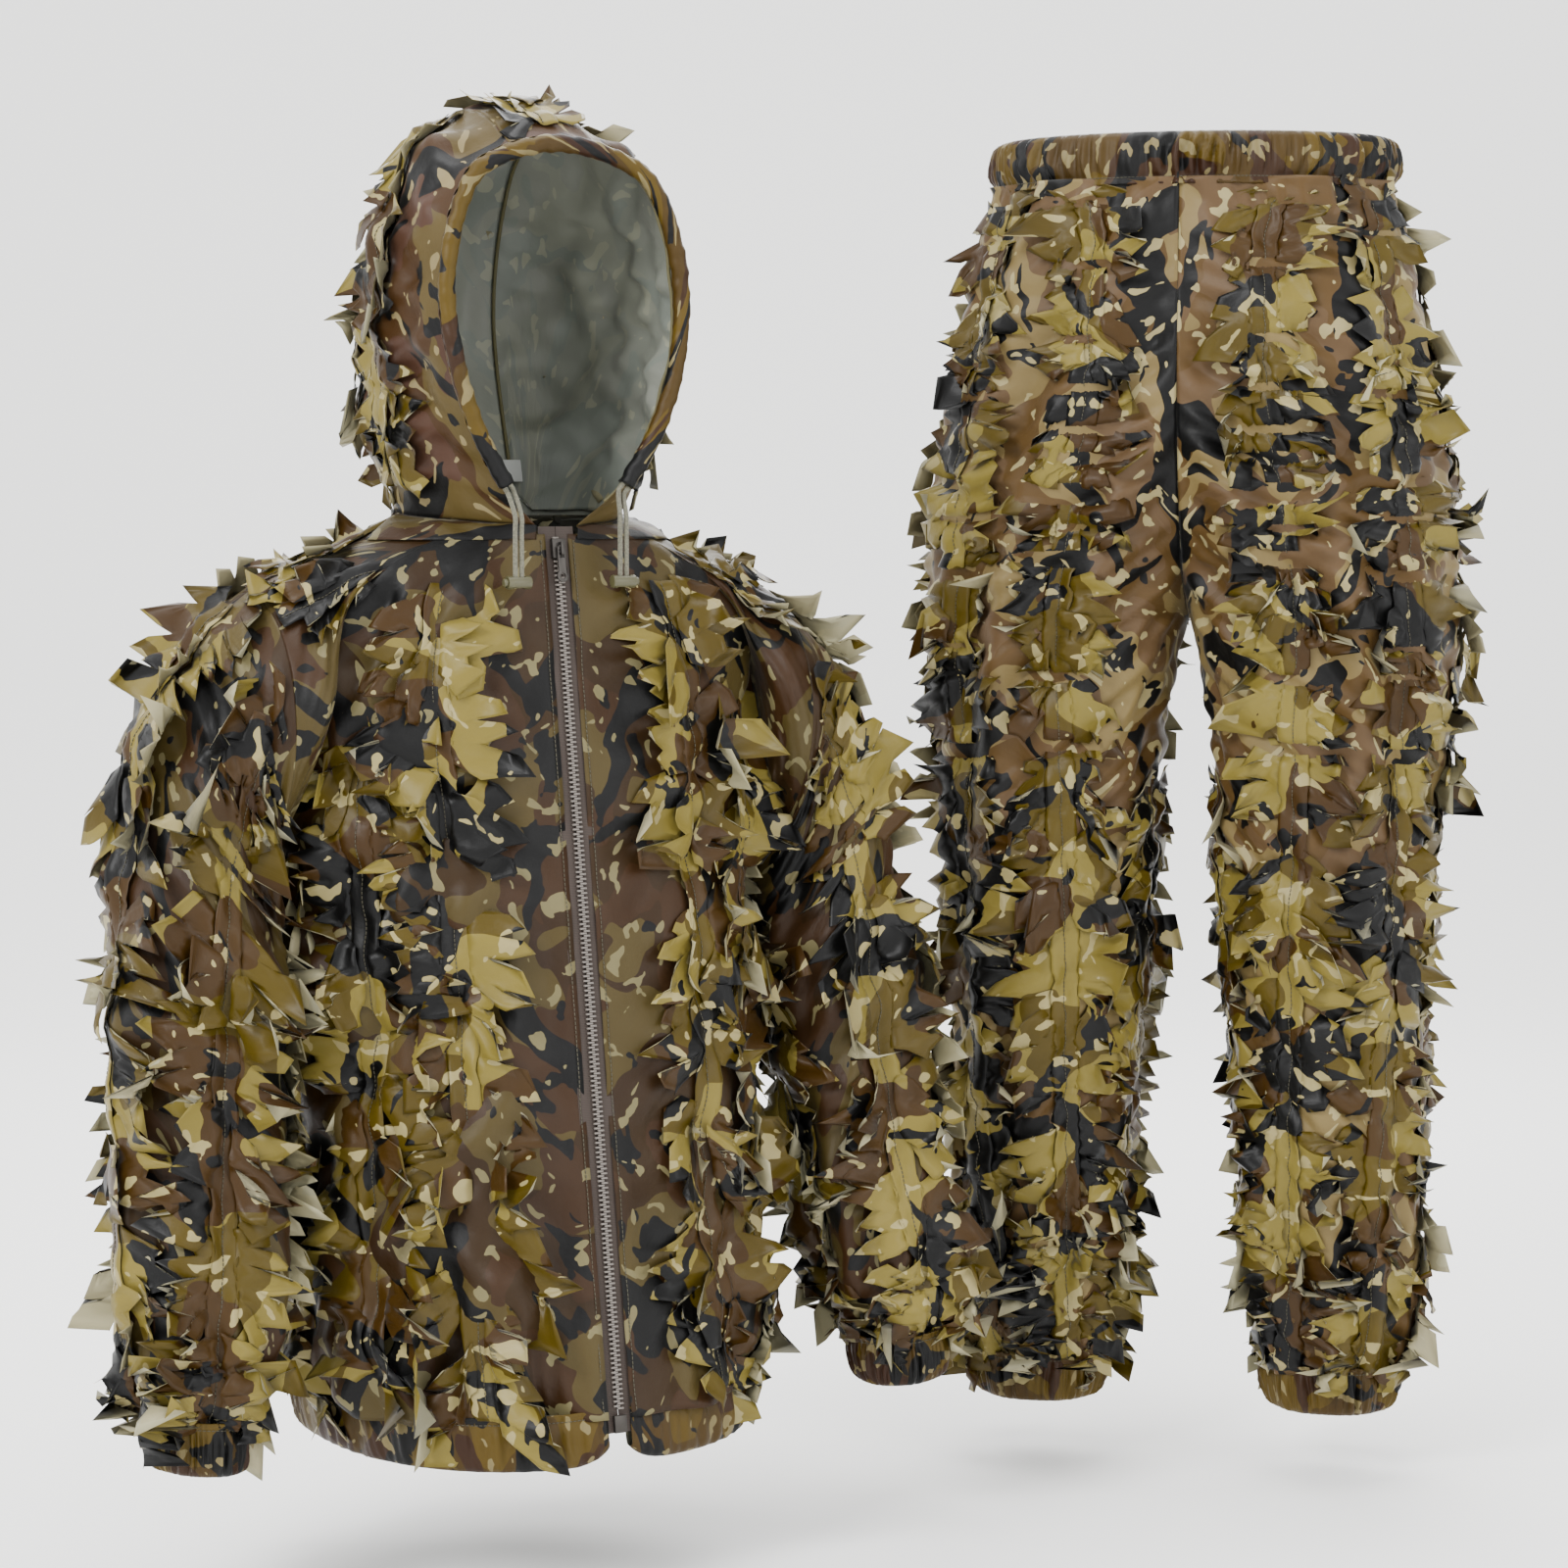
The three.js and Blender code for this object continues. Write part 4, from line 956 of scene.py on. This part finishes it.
# A thick olive overlock seam runs inside the hood down each side of the centre panel and round its face.
overlock, tree, shader = new_material("overlock_thread")
shader.inputs["Base Color"].default_value = (0.085, 0.075, 0.028, 1)
shader.inputs["Roughness"].default_value = 0.7
for side_name, side in SIDES:
    for place, across, down in (("centre", np.full(150, 0.99), np.linspace(0.01, 1, 150)),
                                ("face", np.linspace(0.1, 0.99, 150), np.full(150, 0.03))):
        route = hood_cloth(across, down)
        route = route + 0.0022 * unit(HEAD_MIDDLE - route)
        seam = braided_tube(f"hood_overlock_{place}_{side_name}", in_jacket(mirrored(route, side)), 0.0015)
        seam.data.materials.append(overlock)
        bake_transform(seam)


# The hood's foot is sewn to the body by a neck band that spreads out over the body's neck edge.
def neck_band(u, v):
    """Round from one side of the zip to the other, and from the hood's foot out to the body's neck edge."""
    foot = np.concatenate([hood_side(np.zeros(40), np.linspace(0, 0.995, 40)),
                           hood_side(np.linspace(0.1, 1, 6), np.ones(6))])
    marks = np.concatenate([mirrored(foot, -1), [[0, 0.079, 0.006]], foot[::-1]])
    run = run_along(marks)
    inner = through(run / run[-1], marks, u)
    behind = np.clip(inner[..., 1] / 0.02 + 0.5, 0, 1)
    z = between(-0.03, -0.016, behind)
    # the place on the body's oval in the same direction from the neck's middle
    side_reach = body_shape(math.pi / 2, z)[..., 0]
    facing = np.where(inner[..., 1] < 0, body_shape(0.0, z)[..., 1], body_shape(math.pi, z)[..., 1])
    along = (np.abs(inner[..., 0]) / side_reach) ** (BODY_SQUARE / 2)
    ahead = (np.abs(inner[..., 1]) / np.abs(facing)) ** (BODY_SQUARE / 2)
    angle = np.sign(inner[..., 0]) * np.arctan2(along, ahead * -np.sign(inner[..., 1]))
    outer = body_shape(angle, z)
    out = unit(outer * [1, 1, 0])
    over_body = 0.0016
    bulge = 0.004 * np.sin(math.pi * v) + 0.0012 * creases(u * 0.5, v * 0.03, 0.03, 46) * v * (1 - v) * 4
    flat = between(inner, outer + over_body * out, v[..., None])
    return flat + bulge[..., None] * (out * 0.4 + [0, 0, 0.9])


piece = panel("neck_band_cloth", lambda u, v: in_jacket(neck_band(u, v)), 14, 260, [7.1, 0.4],
              in_jacket([0, 0, -0.06]))
as_cloth(piece, JACKET_CLOTH, HOOD_INSIDE_PAINTED_LIGHT)
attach(piece, "jacket")


def face_edge(u):
    """Along the face edge: 0 at the wearer's right end of the channel, over the crown, to 1 at the left."""
    share = CHANNEL_FOOT + 0.69 * np.array([0, 0.19, 0.38, 0.59, 0.81, 1])
    sides = hood_side(share, 0.0 * share) - CHANNEL_AHEAD
    crown = hood_band(np.array([0.5]), np.array([0.0])) - CHANNEL_AHEAD
    marks = np.concatenate([mirrored(sides, -1), crown, sides[::-1]])
    run = run_along(marks)
    return through(run / run[-1], marks, u)


def channel(u, v):
    """A rolled tube round the face edge, 6.5 mm in radius, puckered along its stitching."""
    centre = face_edge(v)
    ahead = unit(face_edge(v + 0.002) - face_edge(v - 0.002))
    side = unit(np.cross(ahead, [0, 1, 0]))
    up = np.cross(ahead, side)
    pucker = 0.45 * creases(v * 0.9, 0.02 * u, 0.016, 44) + 0.3 * creases(v * 0.9, 0.03 * u, 0.05, 45)
    reach = 0.0066 + 0.0007 * pucker
    return centre + reach[..., None] * (np.cos(TAU * u)[..., None] * side + np.sin(TAU * u)[..., None] * up)


piece = panel("hood_channel_cloth", lambda u, v: in_jacket(channel(u, v)), 300, 25, [9.3, 0.1],
              in_jacket(face_edge(np.array([0.5]))[0]))
as_cloth(piece, CASING_CLOTH, CLOTH_REVERSE)
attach(piece, "hood")
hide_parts("hood_channel")


# ---- Trousers ----
# Two halves, each a leg that carries on up to its side of the seat, joined down the centre front and back
# and gathered at waist and ankles.
# [height, the leg's middle, half width, half depth in front and behind]
LEG_OVALS = np.array([
    [302, 0, 166, 112, 112], [262, 0, 168, 116, 118], [200, 14, 172, 122, 128], [100, 46, 156, 130, 140],
    [0, 84, 130, 130, 138], [-80, 106, 112, 122, 124], [-135, 114, 106, 114, 114], [-260, 120, 92, 100, 100],
    [-430, 124, 80, 86, 88], [-600, 126, 72, 76, 80], [-700, 126, 66, 68, 70], [-738, 126, 56, 56, 58],
    [-776, 126, 50, 50, 52],
]) / 1000
WAIST_SEAM, WAIST_FOLD = 0.262, 0.302
ANKLE_SEAM, ANKLE_FOLD = -0.738, -0.776
LEG_SQUARE = 2.25


def leg_rows(z):
    """The leg's middle, half width, and half depth in front and behind at a height."""
    return through(LEG_OVALS[:, 0], LEG_OVALS[:, 1:], z)


def leg_shape(angle, z):
    """A squarish oval at each height; angle 0 is the outer side and a quarter turn is the front."""
    middle, wide, ahead, behind = np.moveaxis(leg_rows(z), -1, 0)
    s, c = np.sin(angle), np.cos(angle)
    power = 2 / LEG_SQUARE
    x = middle + wide * np.sign(c) * np.abs(c) ** power
    y = -np.where(s > 0, ahead, behind) * np.sign(s) * np.abs(s) ** power
    return np.stack(np.broadcast_arrays(x, y, z), -1)


def leg_cloth(angle, z):
    """The leg's cloth: its shape, with hanging drapes, knee creases, and gathers at the waist and ankle."""
    flat = leg_shape(angle, z)
    middle = leg_rows(z)[..., 0]
    out = unit(flat - np.stack(np.broadcast_arrays(middle * (z < 0), 0 * angle, z), -1), TINY)
    round_it = 0.1 * np.sin(angle), 0.1 * np.cos(angle)
    drapes = 0.0048 * creases(round_it[0] + z * 0.12, round_it[1] + z * 0.1, 0.075, 51)
    knee = np.exp(-((z + 0.3) / 0.16) ** 2)
    small = (0.0028 * knee * creases(round_it[0] * 0.5, z + round_it[1] * 0.3, 0.05, 52)
             + 0.0018 * creases(round_it[0] + z * 0.3, round_it[1] + z, 0.032, 53))
    crotch = 0.004 * np.exp(-((z + 0.02) / 0.07) ** 2) * creases(angle * 0.06, z * 1.2, 0.045, 54)
    below_waist, over_ankle = np.clip(WAIST_SEAM - z, 0, None), np.clip(z - ANKLE_SEAM, 0, None)
    at_waist = np.exp(-below_waist / 0.035) * (1 - np.exp(-below_waist / 0.008))
    at_ankle = np.exp(-over_ankle / 0.04) * (1 - np.exp(-over_ankle / 0.008))
    pleats = 0.007 * (at_waist * (gathers(angle / TAU, 60, 55) - 0.4)
                      + at_ankle * (gathers(angle / TAU, 34, 56) - 0.4))
    inner = np.clip(flat[..., 0] / 0.02, 0, 1)
    rise = ((drapes + small + crotch) * (1 - 0.8 * at_waist) + pleats) * inner
    moved = flat + out * rise[..., None]
    moved[..., 0] = np.maximum(moved[..., 0], 0.0002)
    return moved


def centre_seam(z):
    """The angle at which a leg's cloth meets the centre seam; half a turn below the crotch."""
    middle, wide = np.moveaxis(leg_rows(z), -1, 0)[:2]
    return math.pi / 2 + np.arcsin(np.clip(middle / wide, 0, 1) ** (LEG_SQUARE / 2))


def waist_ring(turn, share):
    """Round the waistband, and up from its seam to its top fold."""
    z = between(WAIST_SEAM - 0.004, WAIST_FOLD, share)
    deep = -leg_shape(math.pi / 2, z)[..., 1]
    return in_trousers(np.stack([0.167 * np.sin(TAU * turn), -deep * np.cos(TAU * turn), z], -1))


HIPS = in_trousers([0, 0, 0.28])


def in_leg(x, z, side):
    """A point inside the leg on the wearer's left or right."""
    return in_trousers(np.array([x * side, 0, z]))


def bend_with_leg(piece):
    """The piece's place in the suit is baked into its mesh, where it stays fixed."""
    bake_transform(piece)


for side_name, side in SIDES:
    def half(u, v):
        z = between(WAIST_SEAM + 0.002, ANKLE_SEAM - 0.004, v)
        return in_trousers(mirrored(leg_cloth((2 * u - 1) * centre_seam(z), z), side))

    def ankle(turn, share):
        z = between(ANKLE_SEAM + 0.005, ANKLE_FOLD, share)
        return in_trousers(mirrored(leg_shape(TAU * turn, z), side))

    piece = panel(f"trouser_half_{side_name}", half, 330, 190, [12.2 + side, 0.7],
                  in_leg(0.12, -0.24, side))
    as_cloth(piece, TROUSER_CLOTH, CLOTH_REVERSE)
    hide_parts(f"leg_{side_name}", "seat_front" if side > 0 else "seat_back")
    bend_with_leg(piece)
    piece, thread = casing(f"ankle_casing_cloth_{side_name}", ankle, 0.006, 0.005, 38, 56,
                           in_leg(0.126, -0.75, side), columns=300)
    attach(piece, f"leg_{side_name}")
    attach(thread, f"leg_{side_name}")
    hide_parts(f"ankle_casing_{side_name}")
piece, thread = casing("waistband_cloth", waist_ring, 0.011, 0.006, 64, 55, HIPS, columns=620)
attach(piece, "waist")
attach(thread, "waist")
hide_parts("waistband")


# ---- Leaf strips ----
# Ribbons of the greener cloth, sewn down their middles. Each side is cut into leaves about 80 mm tall, and
# each leaf's edge into hooked points; they stand off the garment, and some curl over to show the pale reverse.
RIBBON_HALF = 0.012
# how far along a leaf its grid's columns stand, from its root to its points
ALONG_LEAF = np.array([0, 0.2, 0.4, 0.58, 0.74, 0.88, 1])[:, None]


def cut_leaf(random, middle, size, reach, tall, bend_most, seed):
    """One leaf, as places along the seam, out from the ribbon's edge, and above it, and its cloth's area.

    It fans out from a straight root to a row of points with notches between them, four columns to a point:
    notch, rising edge, point, falling edge. It bends along an arc, which keeps its length, and curls further
    at some points."""
    teeth = int(random.integers(3, 6)) if size == 1 else int(random.integers(2, 4))
    columns = np.arange(4 * teeth + 1)
    phase = columns % 4
    a, b = columns[None, :] / (4 * teeth), ALONG_LEAF

    def per_point(values):
        """One random value for each point of the leaf, for all its columns."""
        return np.repeat(values, 4)[:4 * teeth + 1]

    far = reach * size * random.uniform(0.8, 1.15)
    peak = random.uniform(0.35, 0.75)
    outline = 1 - random.uniform(0.25, 0.5) * np.abs(2 * (a - peak)) ** 1.6
    notch = per_point(random.uniform(0.26, 0.6, teeth + 1))
    point = per_point(random.uniform(0.82, 1.12, teeth + 1))
    edge = notch + np.choose(phase, [0, 0.68, 1, 0.3]) * (point - notch)
    hook = random.uniform(-0.2, 0.75) * tall / teeth * np.choose(phase, [0, 0.05, 1, 0.55])
    root = (a - 0.5) * tall * size * 0.78
    fan = (a - 0.5) * tall * size * random.uniform(0.95, 1.3) + hook + random.uniform(-0.1, 0.25) * tall
    away = far * outline * edge * b
    along = middle + between(root, fan, b ** 1.3)
    bend = random.uniform(0.1, 0.8) * bend_most
    if random.random() < 0.07:
        bend = random.uniform(1.4, 2.2)
    curl = per_point(random.normal(0.15, 0.5, teeth + 1)) * np.choose(phase, [0, 0.5, 1, 0.5])
    turn = (bend + curl * b ** 2) * away / far
    turn = np.where(np.abs(turn) < 1e-4, 1e-4, turn)
    height = away * (1 - np.cos(turn)) / turn
    tilt = random.uniform(-0.02, 0.34) * (a - 0.45) * tall * size * 0.5
    height = height + (tilt + 0.0014 * creases(along, away, 0.024, seed)) * b
    area = grid_sizes(np.stack([along, away, 0 * away], -1))[2]
    return along, away * np.sin(turn) / turn, height, area


def leaf_strip(name, surface, path, inside, seed, reach=0.058, tall=0.078, lift=1.0, spare=1.8, hidden=None):
    """A strip along path(t) = (u, v) on surface(u, v), and its stitches.

    The strip is worked out flat, as metres along and across its seam, and then laid on the surface: a step
    across is a step in u, and a height stands along the surface's normal. Past hold from the seam a leaf
    follows the garment's curve less and less, and stands off straight."""
    random = np.random.default_rng(seed)
    t = np.linspace(0, 1, 400)
    run = run_along(surface(*path(t)))
    length = run[-1]
    hold, follows = 0.02, 0.4
    side_step, end_step = 0.004, 0.003

    def lay(along, out, height):
        """The points at these metres along, across and above the seam, and the side the normal is on."""
        at = np.interp(along, run, t)
        u, v = path(at)
        after, before = np.clip(at + end_step, 0, 1), np.clip(at - end_step, 0, 1)
        ahead = unit(surface(*path(after)) - surface(*path(before)), TINY)
        beyond = np.clip(np.abs(out) - hold, 0, None)
        wrapped = out - np.sign(out) * (1 - follows) * beyond
        moved = u
        for share in (0.5, 1):
            rate = (surface(moved + side_step, v) - surface(moved - side_step, v)) / (2 * side_step)
            moved = u + share * wrapped / (np.linalg.norm(rate, axis=-1) + 1e-6)
        across = unit(surface(moved + side_step, v) - surface(moved - side_step, v), TINY)
        place = surface(moved, v) + across * (out - wrapped)[..., None]
        normal = unit(np.cross(across, ahead), TINY)
        sign = np.where((normal * (place - inside)).sum(-1) < 0, -1.0, 1.0)
        past = along - np.clip(along, 0, length)
        return place + ahead * past[..., None] + normal * (sign * height)[..., None], sign

    # the ribbon itself, drawn down into its stitching and puckered by it
    rows_on_seam = int(length / 0.006) + 2
    s, w = np.meshgrid(np.linspace(0, length, rows_on_seam), np.linspace(-RIBBON_HALF, RIBBON_HALF, 9),
                       indexing="ij")
    valley = 0.0016 + 0.0026 * (1 - np.exp(-(w / 0.006) ** 2))
    pucker = 0.0012 * np.sin(s * TAU / 0.012 + 2 * np.sin(s * 40)) * np.exp(-np.abs(w) / 0.014)
    flat_s, flat_w, heights = [s.ravel()], [w.ravel()], [(valley + pucker * (np.abs(w) > 0.001)).ravel()]
    grids = [(rows_on_seam, 9, 1)]
    flat_area = 2 * RIBBON_HALF * length

    # the leaves: a full row on each side, and a sparser row of smaller, steeper ones nearer the seam
    for side in (-1, 1):
        for size, gap, steep, root_at, raised in (
            (1.0, 1.0, 1.0, 0.85, 0.0026), (0.66, spare, 1.8, 0.3, 0.0056),
        ):
            number = max(round(length / (tall * gap)), 1)
            for k in range(number):
                middle = (k + random.uniform(0.35, 0.65)) * (length + 0.3 * tall) / number - 0.15 * tall
                along, out, height, area = cut_leaf(random, middle, size, reach, tall, lift * steep, seed + 2)
                flat_s.append(along.ravel())
                flat_w.append((side * (RIBBON_HALF * root_at + out)).ravel())
                heights.append(np.maximum(height + raised + 0.0016 * (k % 2), 0.002).ravel())
                grids.append((*out.shape, side))
                flat_area += area
    along, out, height = np.concatenate(flat_s), np.concatenate(flat_w), np.concatenate(heights)
    points, sign = lay(along, out, height)
    way = 1 if np.median(sign) > 0 else -1
    quads, count = [], 0
    for i, (rows, columns, side) in enumerate(grids):
        turned = way if i == 0 else -way * side
        quads.append(grid_quads(rows, columns)[:, ::-turned] + count)
        count += rows * columns
    prints = np.stack([out, -along], -1) + random.uniform(0, 5, 2)
    piece = mesh_piece(name, points, np.concatenate(quads), prints)
    as_cloth(piece, LEAF_CLOTH, LEAF_REVERSE, thick=0.00025)
    if hidden:
        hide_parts(hidden)
    seam_s = np.linspace(0.002, length - 0.002, rows_on_seam)
    on_seam, above_seam = (lay(seam_s, 0 * seam_s, np.full(rows_on_seam, high))[0]
                           for high in (0.0018, 0.0118))
    return piece, stitches(f"{name}_stitches", on_seam, unit(above_seam - on_seam))


strips = 0
# [place, angle from the centre front at the top, at the hem, how far down it starts, CAD strip]
for place, high, low, start, hidden in [
    ("front_inner", 27, 29, 0.05, True), ("front_outer", 50, 57, 0.2, True), ("side", 88, 88, 0.36, False),
    ("back_outer", 128, 119, 0.14, False), ("back", 151, 149, 0.03, True),
    ("back_middle", 179, 179, 0.02, False),
]:
    for side_name, side in SIDES:
        if place == "back_middle" and side < 0:
            continue
        parts = leaf_strip(
            f"leaves_{place}_{side_name}",
            lambda u, v: in_jacket(mirrored(body_cloth(u, v), side)),
            lambda t: (np.radians(between(high, low, t)), between(-0.03 - 0.66 * start, -0.684, t)),
            TRUNK, 100 + strips, reach=0.06, hidden=f"leaf_strip_{place}_{side_name}" if hidden else None)
        for part in parts:
            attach(part, "jacket")
        strips += 1

# [place, turn round the sleeve, CAD strip]
for place, turn, hidden in [("outer", 0.0, True), ("front", 0.235, True), ("back", 0.755, False),
                            ("inner", 0.5, False)]:
    for side_name, side in SIDES:
        start = 2.25 if place != "inner" else 4.6
        parts = leaf_strip(
            f"leaves_sleeve_{place}_{side_name}",
            lambda u, v: in_jacket(mirrored(sleeve_cloth(u, v), side)),
            lambda t: (turn + 0 * t, between(start, 8.95, t)),
            in_arm(ELBOW, side), 200 + strips, reach=0.064, lift=1.3,
            hidden=f"leaf_strip_sleeve_{place}_{side_name}" if hidden else None)
        for part in parts:
            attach(part, f"sleeve_{side_name}")
        strips += 1

# Short strips run from the neck over each shoulder.
for place, turn in (("top", 0.0), ("front", 0.105), ("back", 0.895)):
    for side_name, side in SIDES:
        parts = leaf_strip(
            f"leaves_shoulder_{place}_{side_name}",
            lambda u, v: in_jacket(mirrored(sleeve_cloth(u, v), side)),
            lambda t: (turn + 0 * t, between(0.1 if place == "top" else 0.25, 1.95, t)),
            in_arm(SHOULDER, side), 300 + strips, reach=0.045, tall=0.07, lift=0.8)
        for part in parts:
            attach(part, "jacket")
        strips += 1

# Hood strips run down its sides and back, and one goes over the crown.
for place, row, hidden in (("side", 0.38, True), ("back", 0.66, False)):
    for side_name, side in SIDES:
        parts = leaf_strip(
            f"leaves_hood_{place}_{side_name}",
            lambda u, v: in_jacket(mirrored(hood_cloth(np.clip(v, 0, 1), np.clip(u, 0, 1)), side)),
            lambda t: (row + 0 * t, between(0.95, 0.1, t)),
            HEAD, 400 + strips, reach=0.044, tall=0.066,
            hidden=f"leaf_strip_hood_{side_name}" if hidden else None)
        for part in parts:
            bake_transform(part)
        strips += 1
parts = leaf_strip("leaves_hood_crown", lambda u, v: in_jacket(hood_band(u, np.clip(v, 0, 1))),
                   lambda t: (0.5 + 0 * t, between(0.1, 0.95, t)), HEAD, 470, reach=0.04, tall=0.06,
                   hidden="leaf_strip_hood_crown")
for part in parts:
    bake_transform(part)

# [place, angle from the leg's outer side at the waist, at the ankle, where it starts, CAD strip]
for place, high, low, start, hidden in [
    ("front_inner", 60, 118, 0.01, True), ("front_outer", 22, 62, 0.01, True), ("side", 342, 360, 0.01, True),
    ("back", 300, 275, 0.01, True), ("back_inner", 262, 225, 0.12, False), ("inner", 160, 168, 0.5, False),
]:
    for side_name, side in SIDES:
        parts = leaf_strip(
            f"leaves_leg_{place}_{side_name}",
            lambda u, v: in_trousers(mirrored(leg_cloth(u, v), side)),
            lambda t: (np.radians(between(high, low, np.sqrt(between(start, 1, t)))),
                       between(0.256, -0.736, between(start, 1, t))),
            in_leg(0.12, -0.4, side), 500 + strips, reach=0.052, spare=3.2, lift=1.3 if place == "side" else 0.9,
            hidden=f"leaf_strip_{place}_leg_{side_name}" if hidden else None)
        for part in parts:
            bend_with_leg(part)
        strips += 1
